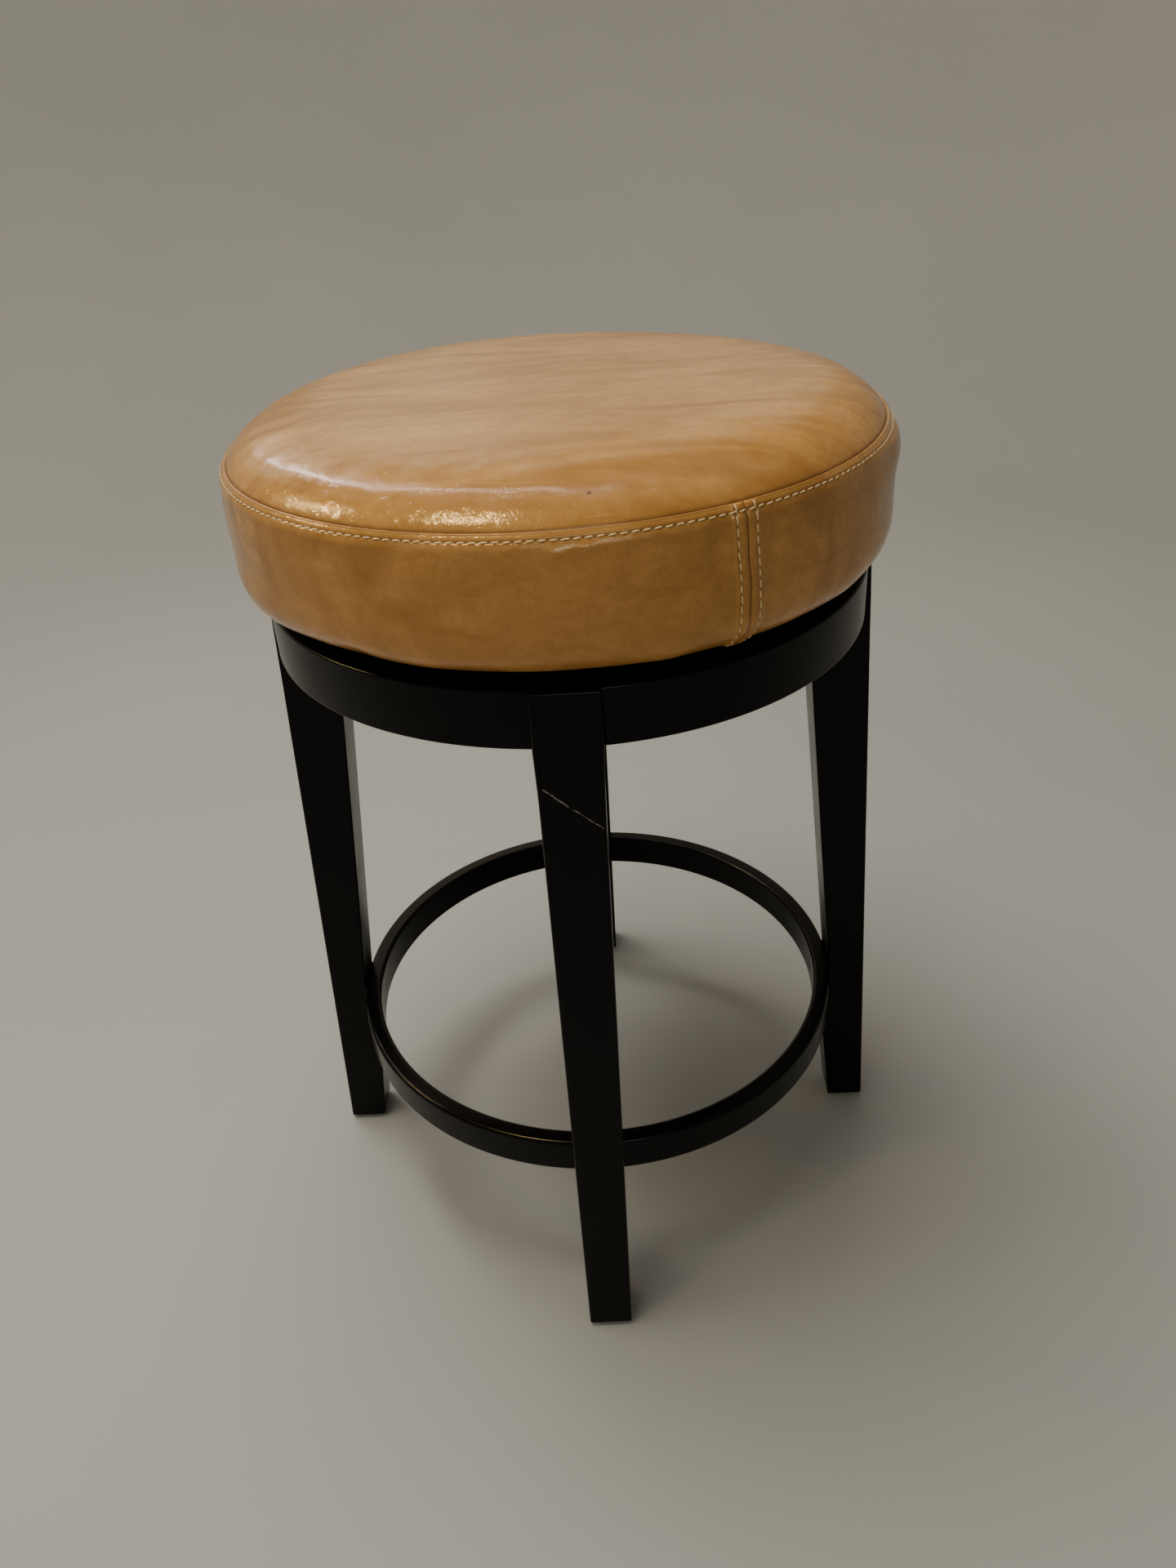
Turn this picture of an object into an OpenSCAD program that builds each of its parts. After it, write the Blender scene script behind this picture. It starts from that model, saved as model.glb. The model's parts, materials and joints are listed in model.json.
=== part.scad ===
// Counter-height bar stool: four splayed timber legs, a curved apron, a round
// footrest rail, and an upholstered round seat that turns on a ball-bearing swivel.
// The origin is on the floor, on the swivel's axis. The legs stand at -Y, +X, +Y and -X.

/* [Base] */
// Height of the apron's top edge above the floor
apron_top_z = 523; // [435:1:640]
// Outer radius of the apron
apron_r = 200; // [165:1:245]
// Height of the apron band
apron_h = 37; // [30:1:46]
// Thickness of the apron band
apron_t = 18; // [15:0.5:23]
// Chamfer on the apron's edges
apron_ease = 1.5; // [0.5:0.5:3]

/* [Legs] */
// How far a leg's outer face stands proud of the apron
leg_proud = 2.5; // [1:0.5:6]
// How far the foot stands out from the top of the leg
leg_splay = 27.5; // [10:0.5:45]
// Width of a leg across the apron
leg_w_top = 40; // [33:0.5:50]
// Width of a leg just under the flare below the apron
leg_w_neck = 37.9; // [31:0.1:46]
// Width of a leg at the floor
leg_w_foot = 31; // [25:0.5:38]
// Height of the flare below the apron
flare_h = 40; // [25:1:60]
// Depth of a leg at its top
leg_d_top = 45; // [36:0.5:54]
// Depth of a leg where the footrest meets it
leg_d_ring = 28.3; // [24:0.1:36]
// Depth of a leg at the floor
leg_d_foot = 29.8; // [24:0.1:38]

/* [Footrest] */
// Height of the footrest's underside
ring_z = 130; // [100:1:220]
// Height of the footrest rail
ring_h = 28.5; // [22:0.5:36]
// Thickness of the footrest rail
ring_t = 13; // [10:0.5:18]
// How far each leg's shoulder reaches under the footrest
ring_shoulder = 7; // [4:0.5:9]
// Chamfer on the footrest's edges
ring_ease = 2; // [0.5:0.5:4]

/* [Swivel panel] */
// How far the panel's top lies below the apron's top edge
panel_drop = 13; // [8:0.5:18]
// Thickness of the plywood panel that closes the top of the base
panel_t = 6; // [4:0.5:9]

/* [Cross rails] */
// Width of a cross rail
rail_w = 45; // [36:1:56]
// Height of a cross rail
rail_h = 20; // [18:0.5:26]
// Width of the stub tenon on a rail's end
tenon_w = 22; // [16:0.5:27]
// Height of the stub tenon
tenon_h = 14; // [10:0.5:17]
// Length of the stub tenon
tenon_l = 12; // [8:0.5:15]

/* [Joints and fasteners] */
// Radius of the dowels between apron and legs
dowel_r = 4; // [3:0.25:5]
// Length of a dowel in the leg
dowel_in_leg = 15; // [10:0.5:16]
// Length of a dowel in the apron
dowel_in_apron = 18; // [14:0.5:24]
// Distance between a joint's two dowels
dowel_pitch = 18; // [13:0.5:20]
// Thickness of the steel brackets under the rails
bracket_t = 2.5; // [2:0.1:3.2]
// Length of each bracket flange
bracket_l = 38; // [30:1:48]
// Width of a bracket
bracket_w = 27; // [24:1:32]
// Shank radius of the bracket screws
bracket_screw_r = 2; // [1.6:0.1:2.6]
// Shank radius of the footrest screws
ring_screw_r = 2.5; // [2:0.1:3.2]
// Length of the footrest screws
ring_screw_l = 34; // [28:0.5:38]
// Glue or sliding gap left round wooden joints
joint_gap = 0.1; // [0.05:0.01:0.2]
// Gap round a screw, nail or bolt in its hole
screw_gap = 0.05; // [0.02:0.01:0.1]

/* [Glides] */
// Radius of a glide
glide_r = 11; // [8:0.5:12]
// Thickness of a glide
glide_h = 3; // [2:0.5:6]
// Radius of a glide's nail
nail_r = 1.3; // [1:0.1:1.6]
// Length of a glide's nail above the glide
nail_l = 15; // [10:1:22]

/* [Swivel] */
// Height of the swivel between panel and seat board
swivel_h = 25; // [22:0.5:32]
// Side of the square swivel plates
plate_side = 165; // [150:1:200]
// Thickness of the plates' sheet steel
plate_t = 2.5; // [2:0.1:3]
// Width cut off each corner of a plate
plate_corner = 14; // [6:1:20]
// Distance between neighbouring plate holes
plate_hole_pitch = 140; // [128:1:160]
// Radius of the circle that the ball centres lie on
race_r = 52; // [44:1:56]
// Ball radius
ball_r = 4; // [3.5:0.1:4.5]
// Number of balls
ball_count = 16; // [10:1:20]
// Gap round a ball in its races
ball_gap = 0.2; // [0.1:0.05:0.3]
// Distance between the two pressed crowns
crown_gap = 5; // [4:0.5:5.5]
// Outer radius of the swivel's hollow pivot
pivot_r = 8; // [6:0.5:10]
// Running clearance between pivot and plates
pivot_gap = 0.05; // [0.02:0.01:0.1]
// Shank radius of the swivel's screws and bolts
swivel_screw_r = 3; // [2.5:0.1:3.5]

/* [Seat] */
// Largest radius of the seat
seat_r = 213; // [178:1:255]
// Height of the side band, from the seat's underside to its shoulder
seat_side_h = 76; // [60:0.5:90]
// How far the side tucks in at its lower edge
seat_tuck = 14.5; // [6:0.5:18]
// How far the side rounds in at its shoulder
seat_round = 3.3; // [2:0.1:7]
// Width of the folded lap between shoulder and top seam
lap_w = 3.4; // [2:0.2:8]
// Rise of the lap from the shoulder to the top seam
lap_rise = 3.6; // [1:0.2:6]
// Crown of the top panel over its seam
seat_crown = 23; // [12:0.5:30]
// Thickness of the leather
leather_t = 1.2; // [0.8:0.1:1.6]
// Width of the leather turned in under the board
turn_in_w = 32; // [24:1:40]
// Thickness of the plywood seat board
board_t = 15; // [12:0.5:20]
// Padding between the board's edge and the tucked leather
edge_pad = 6; // [4:0.5:10]
// Thickness of the dust cover cloth
dust_t = 0.5; // [0.4:0.1:0.8]
// Number of staples round the dust cover
staple_count = 20; // [12:1:28]
// Width of a staple's crown
staple_w = 10; // [8:0.5:12]
// Length of a staple's legs
staple_l = 8; // [6:0.5:10]

/* [Hidden] */
$fn = 96;
// Angles of the four legs, from +X
FRONT = -90;
RIGHT = 0;
BACK = 90;
LEFT = 180;
EPS = 0.01;
REACH = 600;

paint_color = [0.05, 0.05, 0.055];
leather_color = [0.62, 0.38, 0.18];
steel_color = [0.30, 0.31, 0.33];
bright_color = [0.72, 0.73, 0.75];
timber_color = [0.78, 0.63, 0.44];
foam_color = [0.93, 0.90, 0.78];
glide_color = [0.16, 0.15, 0.14];
cloth_color = [0.12, 0.12, 0.12];

// Heights
apron_z = apron_top_z - apron_h;
neck_z = apron_z - flare_h;
ring_top_z = ring_z + ring_h;
ring_mid_z = ring_z + ring_h / 2;
panel_top_z = apron_top_z - panel_drop;
rail_top_z = panel_top_z - panel_t;
rail_z = rail_top_z - rail_h;
rail_mid_z = rail_z + rail_h / 2;
board_z = panel_top_z + swivel_h;
board_top_z = board_z + board_t;
seat_z = board_z - leather_t;
shoulder_z = seat_z + seat_side_h;
bulge_z = seat_z + 0.43 * seat_side_h;
seam_z = shoulder_z + lap_rise;

// Radii of the leg's faces, measured along its own centre plane
function mix(a, b, t) = a + (b - a) * t;
function leg_out(z) = apron_r + leg_proud + leg_splay * (1 - z / apron_top_z);
ring_r = leg_out(ring_top_z) - leg_d_ring;
leg_in_top = leg_out(apron_top_z) - leg_d_top;
function leg_in(z) = mix(ring_r, leg_in_top, (z - ring_top_z) / (apron_top_z - ring_top_z));
inner_lean = atan((ring_r - leg_in_top) / (apron_top_z - ring_top_z));
foot_mid_r = leg_out(0) - leg_d_foot / 2;

function neck_half(z) = mix(leg_w_foot, leg_w_neck, z / neck_z) / 2;
flare_extra = leg_w_top / 2 - neck_half(apron_z);
function leg_half(z) = neck_half(z) + flare_extra * pow(max(0, z - neck_z) / flare_h, 2);

dowel_x = sqrt(pow(apron_r - apron_t / 2, 2) - pow(leg_w_top / 2, 2));
dowel_zs = [apron_z + (apron_h - dowel_pitch) / 2, apron_z + (apron_h + dowel_pitch) / 2];
dowel_end_gap = 0.5;

bracket_screw_l = 14;
bracket_screw_side = 7;
bracket_screw_back = 0.62 * bracket_l;
panel_gap = 0.5;
rail_screw_l = 24;
pan_head_r = 2.1;
hole_spare = 0.4;

// Swivel outlines, from a plate's flange face towards the middle of the swivel
crown_h = (swivel_h - crown_gap) / 2;
hat_r = race_r + 16;
crown_r = race_r + 10;
bead_w = 10;
bead_h = 1.5;
pivot_head_r = pivot_r + 5;
pivot_head_h = 3;
pivot_lift = 0.3;
pivot_bore_r = 5;
cage_t = 1.2;
cage_w = 12;
cage_gap = 0.15;
swivel_mid_z = panel_top_z + swivel_h / 2;
plate_bolt_r = plate_hole_pitch / sqrt(2);
seat_bolt_l = board_t;
tee_barrel_r = swivel_screw_r + 1.4;
tee_flange_r = swivel_screw_r + 6;
tee_flange_t = 1.5;

// Seat outlines
pad_gap = 0.3;
under_r = seat_r - seat_tuck - 3;
turn_in_r = under_r - turn_in_w;
board_r = seat_r - seat_tuck - edge_pad - leather_t;
shoulder_r = seat_r - seat_round;
seam_r = shoulder_r - lap_w;
dust_r = under_r - 8;
dust_hole_r = plate_side / sqrt(2) + 6;
staple_r = mix(turn_in_r, dust_r, 0.55);
staple_wire = 1;

function side_r(z) = z < bulge_z
    ? seat_r - seat_tuck * pow((bulge_z - z) / (bulge_z - seat_z), 4)
    : seat_r - seat_round * pow((z - bulge_z) / (shoulder_z - bulge_z), 4);
function top_z(r) = seam_z + seat_crown * (1 - pow(r / seam_r, 9));

// Outer outline of the band, from the turned-in edge round the side to the top seam
side_steps = 20;
band_outer = concat(
    [[turn_in_r, seat_z], [under_r, seat_z], [under_r + 2, seat_z + 0.6]],
    [for (i = [1 : side_steps])
        let (z = seat_z + seat_side_h * pow(i / side_steps, 1.4)) [side_r(z), z]],
    [[shoulder_r - 0.3 * lap_w, shoulder_z + 0.65 * lap_rise], [seam_r, seam_z]]
);
top_steps = 14;
top_outer = [for (i = [0 : top_steps])
    let (r = (seam_r - pad_gap) * sin(90 * i / top_steps)) [r, top_z(r)]];

// A polyline moved sideways: to its left by a positive distance
function unit(v) = v / norm(v);
function left_of(p, i) = let (
    a = p[max(0, i - 1)],
    b = p[min(len(p) - 1, i + 1)],
    t = unit(b - a)
) [-t[1], t[0]];
function shifted(p, d) = [for (i = [0 : len(p) - 1]) p[i] + d * left_of(p, i)];
function reversed(p) = [for (i = [len(p) - 1 : -1 : 0]) p[i]];

module at_leg(angle) {
    rotate([0, 0, angle]) children();
}

module at_all_legs() {
    for (angle = [FRONT, RIGHT, BACK, LEFT]) at_leg(angle) children();
}

// Rectangle with its four corners cut off
module eased_rect(low, size, cut) {
    w = size[0];
    h = size[1];
    translate(low) polygon([
        [cut, 0], [w - cut, 0], [w, cut], [w, h - cut],
        [w - cut, h], [cut, h], [0, h - cut], [0, cut]
    ]);
}

// A side outline in X and Z, given a width along Y
module across(width) {
    rotate([90, 0, 0]) linear_extrude(height = width, center = true) children();
}

// Pan-head screw along +Z, with its head's seat at the origin
module pan_screw(r, l) {
    head_r = r * pan_head_r;
    head_h = r * 1.2;
    difference() {
        union() {
            cylinder(r = r, h = l - r);
            translate([0, 0, l - r]) cylinder(r1 = r, r2 = r * 0.2, h = r);
            translate([0, 0, -head_h]) cylinder(r1 = head_r * 0.75, r2 = head_r, h = head_h);
        }
        cross_recess(head_r, -head_h, head_h * 0.6);
    }
}

module cross_recess(head_r, z, depth) {
    for (turn = [0, 90]) rotate([0, 0, turn])
        translate([-head_r * 0.45, -head_r * 0.1, z - EPS])
            cube([head_r * 0.9, head_r * 0.2, depth + EPS]);
}

module screw_hole(r, l) {
    translate([0, 0, -EPS]) cylinder(r = r + screw_gap, h = l + hole_spare);
}

// ---- places of the fasteners, each in the frame of the leg at +X ----

module at_bracket_rail_screws() {
    for (side = [-1, 1])
        translate([leg_in(rail_z) - bracket_screw_back, side * bracket_screw_side, rail_z - bracket_t])
            children();
}

module at_bracket_leg_screws() {
    z = rail_z - bracket_screw_back;
    for (side = [-1, 1])
        translate([leg_in(z), side * bracket_screw_side, z])
            rotate([0, 90 - inner_lean, 0])
                translate([0, 0, -bracket_t - joint_gap]) children();
}

module at_ring_screw() {
    translate([ring_r - ring_t, 0, ring_mid_z]) rotate([0, 90, 0]) children();
}

module at_foot() {
    translate([foot_mid_r, 0, 0]) children();
}

module at_dowels() {
    for (side = [-1, 1], z = dowel_zs)
        translate([dowel_x, side * leg_w_top / 2, z]) rotate([-90 * side, 0, 0]) children();
}

// ---- base ----

module leg(angle) {
    side_outline = [
        [leg_out(apron_top_z), apron_top_z],
        [leg_out(glide_h), glide_h],
        [leg_out(glide_h) - leg_d_foot, glide_h],
        [ring_r - ring_shoulder, ring_z],
        [ring_r, ring_z],
        [ring_r - 1, ring_z],
        [ring_r - 1, ring_top_z],
        [ring_r, ring_top_z],
        [leg_in_top, apron_top_z]
    ];
    flare_steps = 6;
    half = concat(
        [[leg_half(glide_h), glide_h]],
        [for (i = [0 : flare_steps]) let (z = neck_z + flare_h * i / flare_steps) [leg_half(z), z]],
        [[leg_w_top / 2, apron_top_z]]
    );
    front_outline = concat(half, [for (p = reversed(half)) [-p[0], p[1]]]);
    color(paint_color) at_leg(angle) difference() {
        intersection() {
            across(leg_w_top + 2) polygon(side_outline);
            rotate([90, 0, 90]) linear_extrude(height = REACH) polygon(front_outline);
        }
        // curved seat for the footrest
        translate([0, 0, ring_z]) cylinder(r = ring_r + joint_gap, h = ring_h + joint_gap);
        // mortise for the cross rail
        translate([leg_in(rail_z) - 20, -tenon_w / 2 - joint_gap, rail_mid_z - tenon_h / 2 - joint_gap])
            cube([20 + tenon_l, tenon_w + 2 * joint_gap, tenon_h + 2 * joint_gap]);
        at_dowels() translate([0, 0, -dowel_in_leg - dowel_end_gap])
            cylinder(r = dowel_r + screw_gap, h = dowel_in_leg + dowel_end_gap + 1);
        at_bracket_leg_screws() screw_hole(bracket_screw_r, bracket_screw_l);
        at_ring_screw() screw_hole(ring_screw_r, ring_screw_l);
        at_foot() translate([0, 0, glide_h]) screw_hole(nail_r, nail_l);
    }
}

// Quarter of the apron, running anticlockwise from the leg at the given angle
module apron(angle) {
    reach = apron_r + 10;
    color(paint_color) at_leg(angle) difference() {
        intersection() {
            rotate_extrude() eased_rect([apron_r - apron_t, apron_z], [apron_t, apron_h], apron_ease);
            translate([leg_w_top / 2, leg_w_top / 2, apron_z - 1]) cube([reach, reach, apron_h + 2]);
        }
        apron_end_cuts();
        rotate([0, 0, 90]) mirror([0, 1, 0]) apron_end_cuts();
    }
}

// Dowel holes and V-groove chamfer at the apron's end beside the leg at +X
module apron_end_cuts() {
    end_x = sqrt(pow(apron_r, 2) - pow(leg_w_top / 2, 2));
    for (z = dowel_zs) translate([dowel_x, leg_w_top / 2 - 1, z]) rotate([-90, 0, 0])
        cylinder(r = dowel_r + screw_gap, h = dowel_in_apron + dowel_end_gap + 1);
    translate([end_x, leg_w_top / 2, apron_z - 1]) rotate([0, 0, 45])
        cube([2 * apron_ease, 2 * apron_ease, 2 * (apron_h + 2)], center = true);
    translate([end_x, leg_w_top / 2, apron_top_z]) rotate([0, 0, 45])
        cube([2 * apron_ease, 2 * apron_ease, 2 * (apron_h + 2)], center = true);
}

module apron_dowels() {
    color(timber_color) at_all_legs() at_dowels()
        translate([0, 0, -dowel_in_leg]) cylinder(r = dowel_r, h = dowel_in_leg + dowel_in_apron);
}

module at_swivel_rail_screw() {
    translate([plate_bolt_r, 0, panel_top_z + plate_t]) rotate([180, 0, 0]) children();
}

// Round panel, notched for the legs
module swivel_panel() {
    notch_in = leg_in(panel_top_z) - panel_gap;
    notch_half = leg_w_top / 2 + panel_gap;
    color(paint_color) difference() {
        translate([0, 0, rail_top_z]) cylinder(r = apron_r - apron_t - panel_gap, h = panel_t);
        at_all_legs() {
            translate([notch_in, -notch_half, rail_top_z - 1])
                cube([apron_r, 2 * notch_half, panel_t + 2]);
            at_swivel_rail_screw() screw_hole(swivel_screw_r, rail_screw_l);
        }
    }
}

// Rail along X; lap_up keeps the upper half where the rails cross
module cross_rail(angle, lap_up) {
    half_top = leg_in(rail_top_z) - joint_gap;
    half_low = leg_in(rail_z) - joint_gap;
    tenon_reach = leg_in(rail_mid_z) + tenon_l - 1;
    color(paint_color) rotate([0, 0, angle]) difference() {
        union() {
            across(rail_w) polygon([
                [half_top, rail_top_z], [half_low, rail_z], [-half_low, rail_z], [-half_top, rail_top_z]
            ]);
            translate([-tenon_reach, -tenon_w / 2, rail_mid_z - tenon_h / 2])
                cube([2 * tenon_reach, tenon_w, tenon_h]);
        }
        translate([-rail_w / 2 - joint_gap, -rail_w, lap_up ? rail_mid_z - rail_h : rail_mid_z])
            cube([rail_w + 2 * joint_gap, 2 * rail_w, rail_h]);
        for (turn = [0, 180]) rotate([0, 0, turn]) {
            at_bracket_rail_screws() screw_hole(bracket_screw_r, bracket_screw_l);
            at_swivel_rail_screw() screw_hole(swivel_screw_r, rail_screw_l);
        }
    }
}

module rail_bracket(angle) {
    foot_z = rail_z - bracket_l;
    thick = bracket_t / cos(inner_lean);
    color(steel_color) at_leg(angle) difference() {
        translate([-joint_gap, 0, 0]) across(bracket_w) polygon([
            [leg_in(rail_z), rail_z],
            [leg_in(rail_z) - bracket_l, rail_z],
            [leg_in(rail_z) - bracket_l, rail_z - bracket_t],
            [leg_in(rail_z - bracket_t) - thick, rail_z - bracket_t],
            [leg_in(foot_z) - thick, foot_z],
            [leg_in(foot_z), foot_z]
        ]);
        at_bracket_rail_screws() screw_hole(bracket_screw_r, bracket_screw_l);
        at_bracket_leg_screws() screw_hole(bracket_screw_r, bracket_screw_l);
    }
}

module bracket_screws() {
    color(bright_color) at_all_legs() {
        at_bracket_rail_screws() pan_screw(bracket_screw_r, bracket_screw_l);
        at_bracket_leg_screws() pan_screw(bracket_screw_r, bracket_screw_l);
    }
}

module footrest_ring() {
    color(paint_color) difference() {
        rotate_extrude() eased_rect([ring_r - ring_t, ring_z], [ring_t, ring_h], ring_ease);
        at_all_legs() at_ring_screw() {
            screw_hole(ring_screw_r, ring_screw_l);
            translate([0, 0, -EPS]) cylinder(r1 = 2 * ring_screw_r + screw_gap,
                r2 = ring_screw_r + screw_gap, h = ring_screw_r + EPS);
        }
    }
}

// Countersunk screws, driven from inside the ring into the legs
module footrest_screws() {
    head_r = 2 * ring_screw_r;
    color(steel_color) at_all_legs() at_ring_screw() difference() {
        union() {
            cylinder(r1 = head_r, r2 = ring_screw_r, h = ring_screw_r);
            cylinder(r = ring_screw_r, h = ring_screw_l - ring_screw_r);
            translate([0, 0, ring_screw_l - ring_screw_r])
                cylinder(r1 = ring_screw_r, r2 = ring_screw_r * 0.2, h = ring_screw_r);
        }
        cross_recess(head_r, 0, ring_screw_r * 0.7);
    }
}

module glide(angle) {
    edge = 0.3 * glide_h;
    color(glide_color) at_leg(angle) at_foot() difference() {
        union() {
            cylinder(r1 = glide_r - edge, r2 = glide_r, h = edge);
            translate([0, 0, edge]) cylinder(r = glide_r, h = glide_h - edge);
        }
        translate([0, 0, -1]) cylinder(r = nail_r + screw_gap, h = glide_h + 2);
        translate([0, 0, -1]) cylinder(r = 2.5 * nail_r, h = 1 + glide_h / 2);
    }
}

// Nails with flat heads sunk in the glides
module glide_nails() {
    head_h = glide_h / 4;
    color(bright_color) at_all_legs() at_foot() {
        translate([0, 0, glide_h / 2 - head_h]) cylinder(r = 2.2 * nail_r, h = head_h);
        translate([0, 0, glide_h / 2 - EPS]) cylinder(r = nail_r, h = glide_h / 2 + nail_l - nail_r);
        translate([0, 0, glide_h + nail_l - nail_r - 2 * EPS])
            cylinder(r1 = nail_r, r2 = nail_r * 0.2, h = nail_r);
    }
}

// ---- swivel ----

// Pressed plate: a square flange at z = 0 round a crown that faces +Z
module swivel_plate() {
    low = crown_h - plate_t;
    wall = 1.2 * plate_t;
    difference() {
        union() {
            linear_extrude(height = plate_t) difference() {
                eased_rect([-plate_side / 2, -plate_side / 2], [plate_side, plate_side], plate_corner);
                circle(r = hat_r - 1);
            }
            rotate_extrude() polygon([
                [hat_r, 0], [hat_r, plate_t], [crown_r, crown_h],
                [pivot_r + pivot_gap, crown_h], [pivot_r + pivot_gap, low],
                [race_r - bead_w / 2, low], [race_r - bead_w / 2 + 1, low - bead_h],
                [race_r + bead_w / 2 - 1, low - bead_h], [race_r + bead_w / 2, low],
                [crown_r - wall, low], [hat_r - wall, 0]
            ]);
        }
        rotate_extrude() translate([race_r, swivel_h / 2]) circle(r = ball_r + ball_gap);
        for (x = [-1, 1], y = [-1, 1])
            translate([x * plate_hole_pitch / 2, y * plate_hole_pitch / 2, -1])
                cylinder(r = swivel_screw_r + hole_spare, h = plate_t + 2);
    }
}

module swivel_lower_plate() {
    color(steel_color) translate([0, 0, panel_top_z]) rotate([0, 0, 45]) swivel_plate();
}

module swivel_upper_plate() {
    color(steel_color) translate([0, 0, board_z]) mirror([0, 0, 1]) swivel_plate();
}

module swivel_rail_screws() {
    color(bright_color) at_all_legs() at_swivel_rail_screw()
        pan_screw(swivel_screw_r, rail_screw_l);
}

// Hollow rivet that holds the two crowns together
module swivel_pivot() {
    low_seat = panel_top_z + crown_h - plate_t;
    high_seat = board_z - crown_h + plate_t + pivot_lift;
    color(bright_color) difference() {
        union() {
            translate([0, 0, low_seat - pivot_head_h]) cylinder(r = pivot_head_r, h = pivot_head_h);
            translate([0, 0, low_seat - EPS]) cylinder(r = pivot_r, h = high_seat - low_seat + 2 * EPS);
            translate([0, 0, high_seat]) cylinder(r = pivot_head_r, h = pivot_head_h);
        }
        translate([0, 0, low_seat - pivot_head_h - 1])
            cylinder(r = pivot_bore_r, h = high_seat - low_seat + 2 * pivot_head_h + 2);
    }
}

module at_balls() {
    for (i = [0 : ball_count - 1]) rotate([0, 0, (i + 0.5) * 360 / ball_count])
        translate([race_r, 0, swivel_mid_z]) children();
}

module swivel_balls() {
    color(bright_color) at_balls() sphere(r = ball_r);
}

module swivel_ball_cage() {
    color(steel_color) difference() {
        rotate_extrude() translate([race_r - cage_w / 2, swivel_mid_z - cage_t / 2])
            square([cage_w, cage_t]);
        at_balls() translate([0, 0, -cage_t]) cylinder(r = ball_r + cage_gap, h = 2 * cage_t);
    }
}

// ---- seat ----

module at_seat_bolts() {
    for (x = [-1, 1], y = [-1, 1])
        translate([x * plate_hole_pitch / 2, y * plate_hole_pitch / 2, board_z]) children();
}

module swivel_seat_bolts() {
    color(bright_color) at_seat_bolts() translate([0, 0, -plate_t])
        pan_screw(swivel_screw_r, seat_bolt_l);
}

// Flanged nuts, pressed into the board from above
module seat_tee_nuts() {
    color(bright_color) at_seat_bolts() difference() {
        union() {
            translate([0, 0, board_t - tee_flange_t]) cylinder(r = tee_flange_r, h = tee_flange_t);
            translate([0, 0, 0.3 * board_t]) cylinder(r = tee_barrel_r, h = 0.7 * board_t - EPS);
        }
        cylinder(r = swivel_screw_r + screw_gap, h = board_t + 1);
    }
}

module at_staples() {
    for (i = [0 : staple_count - 1]) rotate([0, 0, (i + 0.5) * 360 / staple_count])
        translate([staple_r, 0, seat_z - dust_t]) children();
}

// One staple, crown down, legs up; spare widens it for its slots
module staple(spare) {
    wire = staple_wire + 2 * spare;
    if (spare == 0) translate([-wire / 2, -staple_w / 2, -staple_wire])
        cube([wire, staple_w, staple_wire]);
    for (side = [-1, 1])
        translate([-wire / 2, side * (staple_w - staple_wire) / 2 - wire / 2, -EPS])
            cube([wire, wire, staple_l + spare]);
}

module seat_board() {
    color(timber_color) difference() {
        translate([0, 0, board_z]) cylinder(r = board_r, h = board_t);
        at_seat_bolts() {
            translate([0, 0, -1]) cylinder(r = tee_barrel_r + screw_gap, h = board_t + 2);
            translate([0, 0, board_t - tee_flange_t - screw_gap])
                cylinder(r = tee_flange_r + screw_gap, h = board_t);
        }
        at_staples() staple(screw_gap);
    }
}

// Foam pad with a skirt that rounds the board's edge
module seat_foam() {
    inner = leather_t + pad_gap;
    side = [for (p = shifted(band_outer, inner)) if (p[1] > board_z + inner && p[0] > board_r + 1) p];
    top = [for (p = reversed(shifted(top_outer, -inner))) if (p[0] < seam_r - 6) [max(0, p[0]), p[1]]];
    color(foam_color) rotate_extrude() polygon(concat(
        [[0, board_top_z], [board_r + pad_gap, board_top_z], [board_r + pad_gap, side[0][1]]],
        side, top
    ));
}

module seat_cover_top() {
    inner = reversed(shifted(top_outer, -leather_t));
    color(leather_color) rotate_extrude()
        polygon(concat(top_outer, [for (p = inner) [max(0, p[0]), p[1]]]));
}

module seat_cover_band() {
    color(leather_color) difference() {
        rotate_extrude() polygon(concat(band_outer, reversed(shifted(band_outer, leather_t))));
        at_staples() staple(screw_gap);
    }
}

module dust_cover() {
    color(cloth_color) difference() {
        translate([0, 0, seat_z - dust_t]) cylinder(r = dust_r, h = dust_t);
        translate([0, 0, seat_z - 1]) cylinder(r = dust_hole_r, h = 2);
        at_staples() staple(screw_gap);
    }
}

module cover_staples() {
    color(bright_color) at_staples() staple(0);
}

leg(FRONT);  // leg_front
leg(RIGHT);  // leg_right
leg(BACK);  // leg_back
leg(LEFT);  // leg_left
apron(FRONT);  // apron_front_right
apron(RIGHT);  // apron_back_right
apron(BACK);  // apron_back_left
apron(LEFT);  // apron_front_left
apron_dowels();
swivel_panel();
cross_rail(RIGHT, false);  // cross_rail_x
cross_rail(BACK, true);  // cross_rail_y
rail_bracket(FRONT);  // rail_bracket_front
rail_bracket(RIGHT);  // rail_bracket_right
rail_bracket(BACK);  // rail_bracket_back
rail_bracket(LEFT);  // rail_bracket_left
bracket_screws();
footrest_ring();
footrest_screws();
glide(FRONT);  // glide_front
glide(RIGHT);  // glide_right
glide(BACK);  // glide_back
glide(LEFT);  // glide_left
glide_nails();
swivel_lower_plate();
swivel_rail_screws();
swivel_pivot();
swivel_balls();
swivel_ball_cage();
swivel_upper_plate();
swivel_seat_bolts();
seat_tee_nuts();
seat_board();
seat_foam();
seat_cover_top();
seat_cover_band();
dust_cover();
cover_staples();
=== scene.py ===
# Counter stool with a round leather seat on a swivel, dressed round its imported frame
import json
import math
import random

import bmesh
import bpy
import numpy as np
from mathutils import Matrix, Vector, noise
from mathutils.bvhtree import BVHTree
from mathutils.kdtree import KDTree

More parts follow.
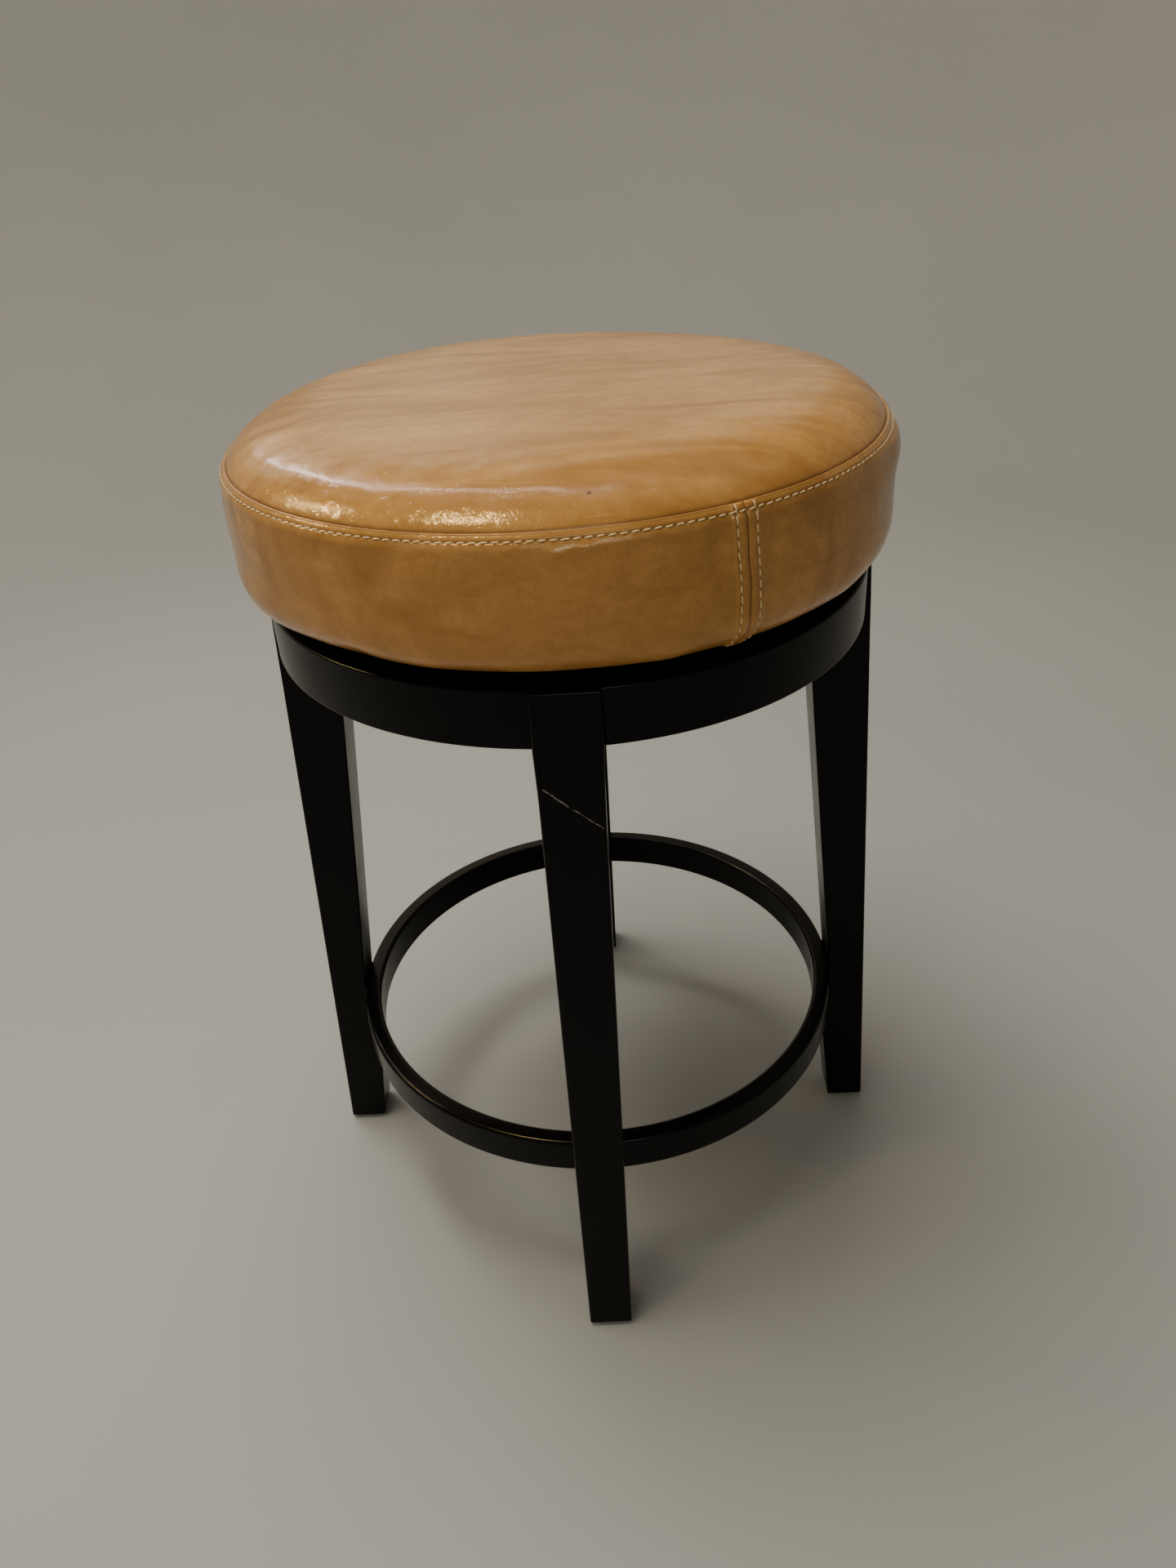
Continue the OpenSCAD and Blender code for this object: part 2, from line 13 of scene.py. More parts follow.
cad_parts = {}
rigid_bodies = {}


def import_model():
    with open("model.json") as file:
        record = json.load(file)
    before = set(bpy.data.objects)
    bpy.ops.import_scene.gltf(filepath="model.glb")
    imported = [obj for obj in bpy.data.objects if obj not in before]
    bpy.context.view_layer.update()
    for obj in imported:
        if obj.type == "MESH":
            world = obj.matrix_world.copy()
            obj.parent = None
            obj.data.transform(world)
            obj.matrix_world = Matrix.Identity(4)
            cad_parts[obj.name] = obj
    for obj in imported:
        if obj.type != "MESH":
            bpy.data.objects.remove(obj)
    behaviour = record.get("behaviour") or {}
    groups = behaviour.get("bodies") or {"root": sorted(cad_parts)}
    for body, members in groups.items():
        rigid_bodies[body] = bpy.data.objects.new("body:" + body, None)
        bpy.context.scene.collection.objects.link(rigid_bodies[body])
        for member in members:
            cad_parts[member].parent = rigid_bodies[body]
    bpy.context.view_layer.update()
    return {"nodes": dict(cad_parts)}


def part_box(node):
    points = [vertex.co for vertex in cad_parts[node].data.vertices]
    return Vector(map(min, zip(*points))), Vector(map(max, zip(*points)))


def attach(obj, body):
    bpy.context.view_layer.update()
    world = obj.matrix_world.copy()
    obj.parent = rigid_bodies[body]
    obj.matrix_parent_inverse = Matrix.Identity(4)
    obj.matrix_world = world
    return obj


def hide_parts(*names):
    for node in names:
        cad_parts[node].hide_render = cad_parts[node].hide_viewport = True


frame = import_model()
mm = 0.001
tiny = 0.01 * mm
fullTurn = 2 * math.pi


# Working with objects and selections

def choose(obj):
    active = bpy.context.view_layer.objects.active
    if active and active.mode != "OBJECT":
        bpy.ops.object.mode_set(mode="OBJECT")
    for other in bpy.context.view_layer.objects:
        other.select_set(False)
    if obj:
        obj.select_set(True)
    bpy.context.view_layer.objects.active = obj


def selectAll():
    bpy.ops.mesh.select_all(action="SELECT")


def editMode(obj):
    choose(obj)
    bpy.ops.object.mode_set(mode="EDIT")
    selectAll()


# In edit mode, selects the vertices, edges or faces whose middle passes the test
def pick(obj, kind, test):
    bpy.ops.mesh.select_mode(type=kind)
    bpy.ops.mesh.select_all(action="DESELECT")
    mesh = bmesh.from_edit_mesh(obj.data)
    for part in {"VERT": mesh.verts, "EDGE": mesh.edges, "FACE": mesh.faces}[kind]:
        corners = [part] if kind == "VERT" else part.verts
        if test(sum((vert.co for vert in corners), Vector()) / len(corners)):
            part.select_set(True)
    mesh.select_flush_mode()
    bmesh.update_edit_mesh(obj.data)


def setAll(thing, settings):
    for key, value in settings.items():
        setattr(thing, key, value)


def applyModifier(obj, kind, **settings):
    choose(obj)
    modifier = obj.modifiers.new(kind.title(), kind)
    setAll(modifier, settings)
    bpy.ops.object.modifier_apply(modifier=modifier.name)


def cutAway(obj, cutter):
    applyModifier(obj, "BOOLEAN", operation="DIFFERENCE", object=cutter, solver="EXACT")
    bpy.data.objects.remove(cutter)


def roundEdges(obj, width, segments, angle=30):
    applyModifier(obj, "BEVEL", width=width, segments=segments, limit_method="ANGLE",
                  angle_limit=math.radians(angle))


def shadeFlatFacesFlat(obj):
    choose(obj)
    bpy.ops.object.shade_smooth_by_angle(angle=math.radians(40))
    applyModifier(obj, "WEIGHTED_NORMAL", keep_sharp=True, weight=80)


def addToScene(name, data):
    made = bpy.data.objects.new(name, data)
    bpy.context.scene.collection.objects.link(made)
    return made


def turned(degrees, axis="Z"):
    return Matrix.Rotation(math.radians(degrees), 4, axis)


# A mesh from points and faces, all facing outwards
def meshPiece(name, points, faces):
    mesh = bpy.data.meshes.new(name)
    mesh.from_pydata(points, [], faces)
    mesh.validate()
    piece = addToScene(name, mesh)
    editMode(piece)
    bpy.ops.mesh.normals_make_consistent(inside=False)
    choose(piece)
    return piece


def finishPiece(piece, name, body, material, standsFor=()):
    piece.name = name
    piece.data.name = name
    piece.data.materials.clear()
    piece.data.materials.append(material)
    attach(piece, body)
    if standsFor:
        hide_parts(*standsFor)


# Turned copies of a black piece; places gives the node each stands for and its degrees
def placeCopies(made, places, paint, otherPaint=()):
    for name, (standsFor, degrees) in places.items():
        copied = addToScene(name, made.data.copy())
        copied.data.transform(turned(degrees))
        finishPiece(copied, name, "base", dict(otherPaint).get(name, paint), [standsFor])
    bpy.data.objects.remove(made)


# Camera, floor and lights

camera = {
    "place": (0.0261, -0.7602, 0.8173),
    "turn": 1.70,       # degrees, to the left of +Y
    "tilt": -32.31,
    "roll": -3.93,
    "lens": 27.056,
    "nearest": 0.01,
}

studio = {
    "floorRadius": 2.6,
    "coveRadius": 0.9,
    "wallHeight": 2.4,
    "coveSteps": 12,
    "innerRing": 0.6,
    "floorColors": ((0.455, 0.442, 0.412, 1), (0.4277, 0.41548, 0.38728, 1)),
    "worldColor": (1.0, 0.96, 0.84, 1),
    "worldStrength": 0.012,
    "distance": 2.25,         # every light's, from the point that all are aimed at
    "aimHeight": 0.5,
    # name: direction towards the light, its turn in degrees, width, height, watts, colour, and
    # whether it shows in a surface's plain colour, in its gloss, or in both
    "lights": {
        "keyLeft": ((-0.58, 0.50, 0.64), 0, 0.5, 0.5, 1.4, (1.0, 0.94, 0.78), "color"),
        "keyFront": ((-0.33, 0.20, 0.93), 0, 0.5, 0.5, 6.2, (1.0, 0.94, 0.78), "color"),
        "softTop": ((-0.22, 0.06, 1.0), 0, 1.5, 1.5, 52, (1.0, 0.98, 0.90), "color"),
        "leftFill": ((-0.95, -0.10, 0.35), 0, 1.3, 1.3, 1.6, (1.0, 0.96, 0.84), "color"),
        "backFill": ((0.0, 0.95, 0.40), 0, 1.6, 1.0, 2.0, (1.0, 0.88, 0.64), "both"),
        "frontFill": ((-0.55, -0.75, 0.55), 0, 1.4, 1.4, 8.4, (1.0, 0.98, 0.90), "color"),
        "leftCard": ((-0.95, -0.10, 0.35), 0, 1.3, 1.3, 0.5, (1.0, 0.84, 0.56), "gloss"),
        "ceilingCard": ((0.25, 0.25, 0.93), 0, 2.2, 1.8, 7.8, (1.0, 0.91, 0.74), "gloss"),
        "backCard": ((-0.40, 0.72, 0.57), 0, 1.8, 1.4, 5.5, (1.0, 0.80, 0.54), "gloss"),
        "hazeCard": ((-0.53, 0.70, 0.48), 0, 0.8, 0.5, 2.2, (1.0, 0.84, 0.74), "gloss"),
        "frontCard": ((0.120, -0.936, 0.330), 0, 0.75, 0.50, 8.0, (1.0, 0.95, 0.80), "gloss"),
        "leftGleam": ((-0.800, 0.115, 0.588), 33, 0.07, 0.05, 27, (1.0, 0.70, 0.29), "gloss"),
        "frontGleam": ((-0.365, -0.310, 0.878), 63, 0.28, 0.045, 52, (1.0, 0.71, 0.29), "gloss"),
        "leftStrip": ((-0.512, 0.561, 0.650), 85.9, 1.02, 0.025, 10.5, (1.0, 0.87, 0.92), "gloss"),
        "frontStrip": ((-0.171, 0.348, 0.922), 124.1, 1.40, 0.025, 13, (1.0, 0.87, 0.92), "gloss"),
    },
}


def makeCamera():
    made = addToScene("camera", bpy.data.cameras.new("camera"))
    made.data.lens = camera["lens"]
    made.data.clip_start = camera["nearest"]
    made.matrix_world = (Matrix.Translation(camera["place"]) @ turned(camera["turn"])
                         @ turned(90 + camera["tilt"], "X") @ turned(camera["roll"]))
    bpy.context.scene.camera = made
    print("camera set")


def makeFloor():
    choose(None)
    radius, cove, height = studio["floorRadius"], studio["coveRadius"], studio["wallHeight"]
    bpy.ops.mesh.primitive_circle_add(vertices=128, radius=radius - cove, fill_type="NGON")
    floor = bpy.context.object
    editMode(floor)
    bpy.ops.mesh.inset(thickness=studio["innerRing"], depth=0)
    pick(floor, "EDGE", lambda middle: middle.length > (radius - cove) * 0.99)
    steps = studio["coveSteps"]
    for step in range(steps):   # the cove, bent up step by step
        a, b = (math.radians(90 * (step + k) / steps) for k in (0, 1))
        grow = (radius - cove + cove * math.sin(b)) / (radius - cove + cove * math.sin(a))
        bpy.ops.mesh.extrude_region_move(
            TRANSFORM_OT_translate={"value": (0, 0, cove * (math.cos(a) - math.cos(b)))})
        bpy.ops.transform.resize(value=(grow, grow, 1), center_override=(0, 0, 0))
    bpy.ops.mesh.extrude_region_move(TRANSFORM_OT_translate={"value": (0, 0, height - cove)})
    selectAll()
    bpy.ops.mesh.normals_make_consistent(inside=False)
    choose(floor)
    bpy.ops.object.shade_smooth()
    floor.name = "floor"
    floor.data.materials.append(floorPaint())
    print("floor made")


def makeLights():
    for name, (direction, turn, width, height, watts, color, lit) in studio["lights"].items():
        data = bpy.data.lights.new(name, "AREA")
        setAll(data, {"shape": "RECTANGLE", "size": width, "size_y": height, "energy": watts,
                      "color": color})
        light = addToScene(name, data)
        aim = Vector(direction).normalized()
        light.location = Vector((0, 0, studio["aimHeight"])) + aim * studio["distance"]
        light.rotation_euler = (aim.to_track_quat("Z", "Y").to_matrix() @ turned(turn).to_3x3()).to_euler()
        light.visible_camera = False
        light.visible_diffuse = lit != "gloss"
        light.visible_glossy = lit != "color"
    world = bpy.data.worlds.new("studio")
    bpy.context.scene.world = world
    world.use_nodes = True
    background = world.node_tree.nodes["Background"]
    background.inputs["Color"].default_value = studio["worldColor"]
    background.inputs["Strength"].default_value = studio["worldStrength"]
    print("lights set:", len(studio["lights"]))


# Materials: all patterns read Object coordinates or the piece's own UV map or attribute

inHand = {}   # the material being made: the functions below add their nodes to it


def shaderSockets():
    return inHand["material"].node_tree.nodes["Principled BSDF"].inputs


def startMaterial(name, sockets):
    inHand["material"] = bpy.data.materials.new(name)
    inHand["material"].use_nodes = True
    for key, value in sockets.items():
        shaderSockets()[key].default_value = value


# Gives the shader what varies over the surface
def finishMaterial(color, bump=None, rough=None):
    for key, value in (("Base Color", color), ("Normal", bump), ("Roughness", rough)):
        if value:
            inHand["material"].node_tree.links.new(value, shaderSockets()[key])
    return inHand["material"]


def node(kind, inputs=None, **settings):
    tree = inHand["material"].node_tree
    made = tree.nodes.new("ShaderNode" + kind)
    setAll(made, settings)
    for key, value in (inputs or {}).items():
        if isinstance(value, bpy.types.NodeSocket):
            tree.links.new(value, made.inputs[key])
        else:
            made.inputs[key].default_value = value
    return made


def objectCoords(scale=(1, 1, 1), turn=(0, 0, 0)):
    coords = node("TexCoord").outputs["Object"]
    angles = [math.radians(a) for a in turn]
    return node("Mapping", {"Vector": coords, "Scale": scale, "Rotation": angles}).outputs[0]


def noiseAt(coords, scale, detail=3, roughness=0.5, distortion=0.0):
    return node("TexNoise", {"Vector": coords, "Scale": scale, "Detail": detail,
                             "Roughness": roughness, "Distortion": distortion}).outputs[0]


def calc(operation, a, b=0.0, clamp=False):
    return node("Math", {0: a, 1: b}, operation=operation, use_clamp=clamp).outputs[0]


def spread(value, low, high, toLow=0.0, toHigh=1.0):
    return node("MapRange", {"Value": value, "From Min": low, "From Max": high,
                             "To Min": toLow, "To Max": toHigh}).outputs[0]


def mixColors(factor, a, b):
    return node("Mix", {0: factor, 6: a, 7: b}, data_type="RGBA").outputs[2]


def bumpOf(height, strength, distance, under=None):
    inputs = {"Height": height, "Strength": strength, "Distance": distance}
    if under:
        inputs["Normal"] = under
    return node("Bump", inputs).outputs[0]


leatherLook = {
    "tan": (0.503, 0.240, 0.060, 1),
    "paleTan": (0.588, 0.298, 0.088, 1),
    "darkTan": (0.348, 0.152, 0.031, 1),
    # colour of the painted shade in the seam grooves, and of the one dark fleck on the top
    "seam": (0.085, 0.034, 0.009, 1),
    "tint": (1.0, 0.90, 0.74, 1),         # warmth of its gloss
    "gloss": (0.10, 0.19),                # roughness, where it is shiniest and dullest
    "fleck": (0.0195, -0.1905, 0.6268),   # one small dark mark on the top
    "fleckEdge": (0.8 * mm, 1.6 * mm),
    "streakTurn": (0, 0, -36),            # degrees: how the streaks lie, seen from above
    "streakStretch": (1, 5.2, 2.6),
    "smudgeStretch": (1, 1, 2.4),
    # patterns: scale, detail, roughness, distortion
    "cloud": (9, 4, 0.55, 0.5),
    "streak": (7, 5, 0.56, 1.0),
    "smudge": (26, 5, 0.60, 0.8),
    "mottle": (150, 4, 0.62, 0.3),
    "pore": (620, 3, 0.6),
    # how the patterns darken the tan: where each starts and is full, and its share
    "darker": {"streak": (0.41, 0.66, 0.90), "smudge": (0.44, 0.74, 0.60),
               "mottle": (0.40, 0.72, 0.42), "pore": (0.50, 0.72, 0.35)},
    "cloudEnds": (0.34, 0.66),            # from tan to pale tan
    "glossEnds": (0.36, 0.64),
    "seamShadeShare": 0.85,
    "fleckShare": 0.9,
    "cellScale": 900,
    "cellRelief": (0.28, 0.10 * mm),      # strength, depth
    "streakRelief": (0.10, 3.0 * mm),
    "cellWarp": (0.012, 160),             # share and scale of what bends the cells
    # relief over the cells: pattern, strength, depth
    "relief": [((1500, 2, 0.5), 0.25, 0.10 * mm), ((260, 3, 0.6, 0.6), 0.22, 0.3 * mm),
               ((80, 3, 0.55, 0.8), 0.12, 0.9 * mm)],
}


def leather():
    look = leatherLook
    startMaterial("tanLeather", {"IOR": 1.47, "Specular Tint": look["tint"]})
    plain = objectCoords()
    flowing = objectCoords(look["streakStretch"], look["streakTurn"])
    flat = objectCoords(look["smudgeStretch"])
    cloud = spread(noiseAt(plain, *look["cloud"]), *look["cloudEnds"])
    base = mixColors(cloud, look["tan"], look["paleTan"])
    places = {"streak": flowing, "smudge": flat, "mottle": plain, "pore": plain}
    patterns = {name: noiseAt(place, *look[name]) for name, place in places.items()}
    for name, (start, full, share) in look["darker"].items():
        base = mixColors(spread(patterns[name], start, full, 0, share), base, look["darkTan"])
    # painted shade in the seam grooves, the stitch channels and the needle holes, read from the piece's
    # attribute
    shade = node("Attribute", attribute_name="seamShade").outputs["Fac"]
    base = mixColors(calc("MULTIPLY", shade, look["seamShadeShare"], True), base, look["seam"])
    away = node("VectorMath", {0: plain, 1: look["fleck"]}, operation="DISTANCE").outputs["Value"]
    base = mixColors(spread(away, *look["fleckEdge"], look["fleckShare"], 0), base, look["seam"])
    halves = [calc("MULTIPLY", patterns[name], 0.5) for name in ("streak", "mottle")]
    rough = spread(calc("ADD", *halves), *look["glossEnds"], *look["gloss"])
    share, scale = look["cellWarp"]
    bend = node("TexNoise", {"Vector": plain, "Scale": scale}).outputs[1]
    warped = node("Mix", {0: share, 4: plain, 5: bend}, data_type="VECTOR").outputs[1]
    cell = node("TexVoronoi", {"Vector": warped, "Scale": look["cellScale"]},
                feature="DISTANCE_TO_EDGE").outputs[0]
    bump = bumpOf(spread(cell, 0.0, 0.35), *look["cellRelief"])
    for pattern, strength, depth in look["relief"]:
        bump = bumpOf(noiseAt(plain, *pattern), strength, depth, bump)
    bump = bumpOf(patterns["streak"], *look["streakRelief"], bump)
    return finishMaterial(base, bump, rough)


threadLook = {
    "twistShade": (0.78, 0.54, 0.25, 1),
    "pale": (0.90, 0.68, 0.36, 1),
    "soiled": (0.55, 0.36, 0.18, 1),
    "twists": 3.0,   # in one stitch
}


def thread():
    startMaterial("creamThread", {"Roughness": 0.5})
    uv = node("UVMap", uv_map="along").outputs[0]
    along, around = node("SeparateXYZ", {0: uv}).outputs[:2]
    turns = calc("ADD", calc("MULTIPLY", along, threadLook["twists"]), around)
    twist = calc("SINE", calc("MULTIPLY", turns, fullTurn))
    fleck = noiseAt(objectCoords(), 800, 3)
    # painted shade: the thread darkens in the grooves of its twist and is pale on the strands
    color = mixColors(spread(twist, -1, 1), threadLook["twistShade"], threadLook["pale"])
    color = mixColors(spread(fleck, 0.5, 0.75, 0, 0.3), color, threadLook["soiled"])
    return finishMaterial(color, bumpOf(twist, 0.25, 0.1 * mm))


paintLook = {
    "black": (0.0012, 0.0012, 0.0012, 1),
    "grain": (0.0030, 0.0029, 0.0027, 1),
    "dust": (0.42, 0.40, 0.36, 1),
    "dustSpread": (62, 0.86),    # specks to the metre, and the share of them left out
    "dustEdge": (0.018, 0.045),
    "dustShare": 0.55,
    "bare": (0.34, 0.31, 0.26, 1),
    "gloss": (0.18, 0.28),
    "stretch": {"X": (1, 9, 9), "Z": (9, 9, 1)},   # draws the grain out along one axis
    # patterns: scale, detail, roughness, distortion
    "grainPattern": (55, 5, 0.6, 0.3),
    "glossPattern": (18, 4, 0.6),
    "unevenPattern": (60, 2, 0.4),
    "grainRelief": (0.06, 0.3 * mm),   # strength, depth
    "unevenRelief": (0.05, 0.8 * mm),
}


# Satin lacquer over wood: faint grain, specks of dust, and a scuff where asked
def blackPaint(name, grainAlong, scratch=False):
    look = paintLook
    startMaterial(name, {"IOR": 1.22})
    plain = objectCoords()
    grain = noiseAt(objectCoords(look["stretch"][grainAlong]), *look["grainPattern"])
    scale, leftOut = look["dustSpread"]
    speck = node("TexVoronoi", {"Vector": plain, "Scale": scale, "Randomness": 1.0})
    chosen = node("SeparateColor", {0: speck.outputs["Color"]}).outputs[0]
    dust = calc("MULTIPLY", spread(speck.outputs["Distance"], *look["dustEdge"], 1, 0),
                calc("GREATER_THAN", chosen, leftOut))
    color = mixColors(spread(grain, 0.45, 0.75, 0, 0.7), look["black"], look["grain"])
    color = mixColors(calc("MULTIPLY", dust, look["dustShare"]), color, look["dust"])
    rough = spread(noiseAt(plain, *look["glossPattern"]), 0.3, 0.7, *look["gloss"])
    if scratch:
        line = scratchMask()
        color = mixColors(line, color, look["bare"])
        rough = calc("ADD", rough, calc("MULTIPLY", line, 0.35))
    bump = bumpOf(grain, *look["grainRelief"])
    bump = bumpOf(noiseAt(plain, *look["unevenPattern"]), *look["unevenRelief"], bump)
    return finishMaterial(color, bump, rough)


scuff = {
    "from": (-0.0165, 0.4642),   # X and Z on the front leg
    "to": (0.0172, 0.4365),
    "width": 0.35 * mm,
    "wobble": 1.6 * mm,
    "inFrontOf": -0.203,         # Y
}


# A thin broken scratch that slants across the front leg's outer face
def scratchMask():
    (x0, z0), (x1, z1) = scuff["from"], scuff["to"]
    length = math.hypot(x1 - x0, z1 - z0)
    ux, uz = (x1 - x0) / length, (z1 - z0) / length
    plain = objectCoords()
    x, y, z = node("SeparateXYZ", {0: plain}).outputs
    dx = calc("SUBTRACT", x, x0)
    dz = calc("SUBTRACT", z, z0)
    along = calc("ADD", calc("MULTIPLY", dx, ux), calc("MULTIPLY", dz, uz))
    across = calc("SUBTRACT", calc("MULTIPLY", dx, -uz), calc("MULTIPLY", dz, -ux))
    wobble = spread(noiseAt(plain, 90, 3), 0, 1, -scuff["wobble"], scuff["wobble"])
    across = calc("ABSOLUTE", calc("ADD", across, wobble))
    mask = spread(across, scuff["width"] * 0.4, scuff["width"] * 1.6, 1, 0)
    for part in (calc("GREATER_THAN", along, 0.0), calc("LESS_THAN", along, length),
                 calc("LESS_THAN", y, scuff["inFrontOf"]),
                 spread(noiseAt(plain, 260, 3, 0.7), 0.40, 0.62)):
        mask = calc("MULTIPLY", mask, part)
    return mask


# Finishes of one pattern, which mixes two colours and gives the relief: roughness, stretch, pattern,
# where it starts and is full, the two colours, strength and depth of the relief
plainFinishes = {
    "rawTimber": (0.62, (9, 9, 1), (70, 5, 0.6, 0.5), (0.35, 0.7),
                  (0.62, 0.45, 0.27, 1), (0.40, 0.26, 0.13, 1), 0.2, 0.3 * mm),
    "glidePlastic": (0.55, (1, 1, 1), (320, 4, 0.7), (0.5, 0.75),
                     (0.035, 0.032, 0.030, 1), (0.11, 0.10, 0.09, 1), 0.2, 0.2 * mm),
    "plywood": (0.6, (1, 12, 12), (45, 5, 0.6, 0.4), (0.3, 0.7),
                (0.60, 0.44, 0.27, 1), (0.44, 0.30, 0.16, 1), 0.2, 0.3 * mm),
}

plies = {"pair": 3 * mm, "tone": (0.34, 0.22, 0.12, 1), "share": 0.35}   # pair: height of two plies


def plainFinish(name, layered=False):
    rough, stretch, pattern, ends, first, second, strength, depth = plainFinishes[name]
    startMaterial(name, {"Roughness": rough})
    grain = noiseAt(objectCoords(stretch), *pattern)
    color = mixColors(spread(grain, *ends), first, second)
    if layered:
        height = node("SeparateXYZ", {0: objectCoords()}).outputs[2]
        wave = calc("SINE", calc("MULTIPLY", height, fullTurn / plies["pair"]))
        ply = calc("MULTIPLY", calc("GREATER_THAN", wave, 0), plies["share"])
        color = mixColors(ply, color, plies["tone"])
    return finishMaterial(color, bumpOf(grain, strength, depth))


# Bare steel, brushed or plated: two colours, smallest and largest roughness, strength of the relief
def brushed(color, second, gloss, strength=0.12):
    return {"metallic": 1.0, "cloud": (60, 4, 0.6), "cloudEnds": (0.35, 0.7), "colors": (color, second),
            "gloss": gloss, "relief": ((1, 1, 14), (380, 3, 0.6), strength, 0.1 * mm)}


# Black powder coat or e-coat on pressed steel
def coated(color, second, gloss):
    return {"metallic": 0.0, "cloud": (45, 4, 0.6), "cloudEnds": (0.4, 0.75), "colors": (color, second),
            "gloss": gloss, "relief": ((1, 1, 1), (900, 2, 0.5), 0.15, 0.15 * mm)}


steels = {
    "brightZinc": brushed((0.62, 0.64, 0.66, 1), (0.42, 0.43, 0.45, 1), (0.272, 0.425)),
    "blackOxide": brushed((0.05, 0.05, 0.052, 1), (0.02, 0.02, 0.02, 1), (0.32, 0.5)),
    "ballSteel": brushed((0.72, 0.72, 0.74, 1), (0.62, 0.62, 0.64, 1), (0.096, 0.15), 0.024),
    "bracketSteel": coated((0.018, 0.018, 0.019, 1), (0.0324, 0.0324, 0.0342, 1), (0.3825, 0.54)),
    "swivelSteel": coated((0.014, 0.014, 0.015, 1), (0.0252, 0.0252, 0.027, 1), (0.34, 0.48)),
}


def steel(name):
    look = steels[name]
    startMaterial(name, {"Metallic": look["metallic"]})
    cloud = noiseAt(objectCoords(), *look["cloud"])
    color = mixColors(spread(cloud, *look["cloudEnds"]), *look["colors"])
    rough = spread(cloud, 0.3, 0.7, *look["gloss"])
    stretch, pattern, strength, depth = look["relief"]
    return finishMaterial(color, bumpOf(noiseAt(objectCoords(stretch), *pattern), strength, depth), rough)


# Thin non-woven cloth with pressed dots
dustClothLook = {
    "colors": ((0.010, 0.010, 0.011, 1), (0.030, 0.029, 0.030, 1)),
    "dots": (620, 0.15),     # to the metre, and how far they stray
    "fibre": (900, 4, 0.7, 1.5),
    "relief": (0.5, 0.3 * mm),
}


def dustCloth():
    look = dustClothLook
    startMaterial("dustCloth", {"Roughness": 0.9, "Sheen Weight": 0.3})
    plain = objectCoords()
    scale, stray = look["dots"]
    dots = node("TexVoronoi", {"Vector": plain, "Scale": scale, "Randomness": stray}).outputs["Distance"]
    color = mixColors(spread(noiseAt(plain, *look["fibre"]), 0.4, 0.7), *look["colors"])
    return finishMaterial(color, bumpOf(spread(dots, 0.1, 0.4), *look["relief"]))


seatFoamLook = {
    "colors": ((0.80, 0.73, 0.52, 1), (0.72, 0.62, 0.40, 1)),
    "cellTone": (0.45, 0.36, 0.20, 1),
    "cellScale": 650,
    "relief": (0.6, 0.6 * mm),
}


def seatFoam():
    look = seatFoamLook
    startMaterial("seatFoam", {"Roughness": 0.95})
    plain = objectCoords()
    cells = node("TexVoronoi", {"Vector": plain, "Scale": look["cellScale"]}).outputs["Distance"]
    color = mixColors(spread(noiseAt(plain, 20, 4), 0.35, 0.65), *look["colors"])
    color = mixColors(spread(cells, 0.0, 0.3, 0.5, 0), color, look["cellTone"])
    return finishMaterial(color, bumpOf(cells, *look["relief"]))


def floorPaint():
    startMaterial("paleFloor", {"Roughness": 0.75})
    cloud = noiseAt(objectCoords(), 1.6, 4, 0.5)
    return finishMaterial(mixColors(spread(cloud, 0.3, 0.7), *studio["floorColors"]))


# Legs

leg = {
    "topDepth": 45 * mm,
    "footDepth": 29.8 * mm,
    "neckWidth": 37.9 * mm,
    "footWidth": 31 * mm,
    "flare": 40 * mm,        # height of the widening under the apron
    "flareSteps": 6,
    "cutSides": 360,         # sides of the cutter that lets the footrest in
    "shoulder": 7 * mm,      # ledge under the footrest
    "housing": 0.8 * mm,     # how far the footrest is let into the leg
    "edge": 1.7 * mm,
    "gap": 0.1 * mm,
    "places": {"rightLeg": ("leg_right", 0), "backLeg": ("leg_back", 90),
               "leftLeg": ("leg_left", 180), "frontLeg": ("leg_front", -90)},
}


def legLevels(low, high):
    ringLow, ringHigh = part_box("footrest_ring")
    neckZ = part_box("apron_back_right")[0].z - leg["flare"]
    outTop = low.x + leg["topDepth"]

    def outer(z):
        return high.x + (outTop - high.x) * (z - low.z) / (high.z - low.z)

    def inner(z):
        return ringHigh.x + (low.x - ringHigh.x) * (z - ringHigh.z) / (high.z - ringHigh.z)

    def half(z):
        straight = leg["footWidth"] + (leg["neckWidth"] - leg["footWidth"]) * z / neckZ
        rise = min(1, max(0, z - neckZ) / leg["flare"])
        return straight / 2 + (high.y - straight / 2) * rise ** 2

    levels = [
        (low.z, outer(low.z) - leg["footDepth"]),
        (ringLow.z, ringHigh.x - leg["shoulder"]),
        (ringHigh.z + leg["gap"], ringHigh.x - leg["housing"]),
    ]
    for step in range(leg["flareSteps"] + 1):
        z = neckZ + leg["flare"] * step / leg["flareSteps"]
        levels.append((z, inner(z)))
    levels.append((high.z, low.x))
    return [(z, innerX, outer(z), half(z)) for z, innerX in levels]


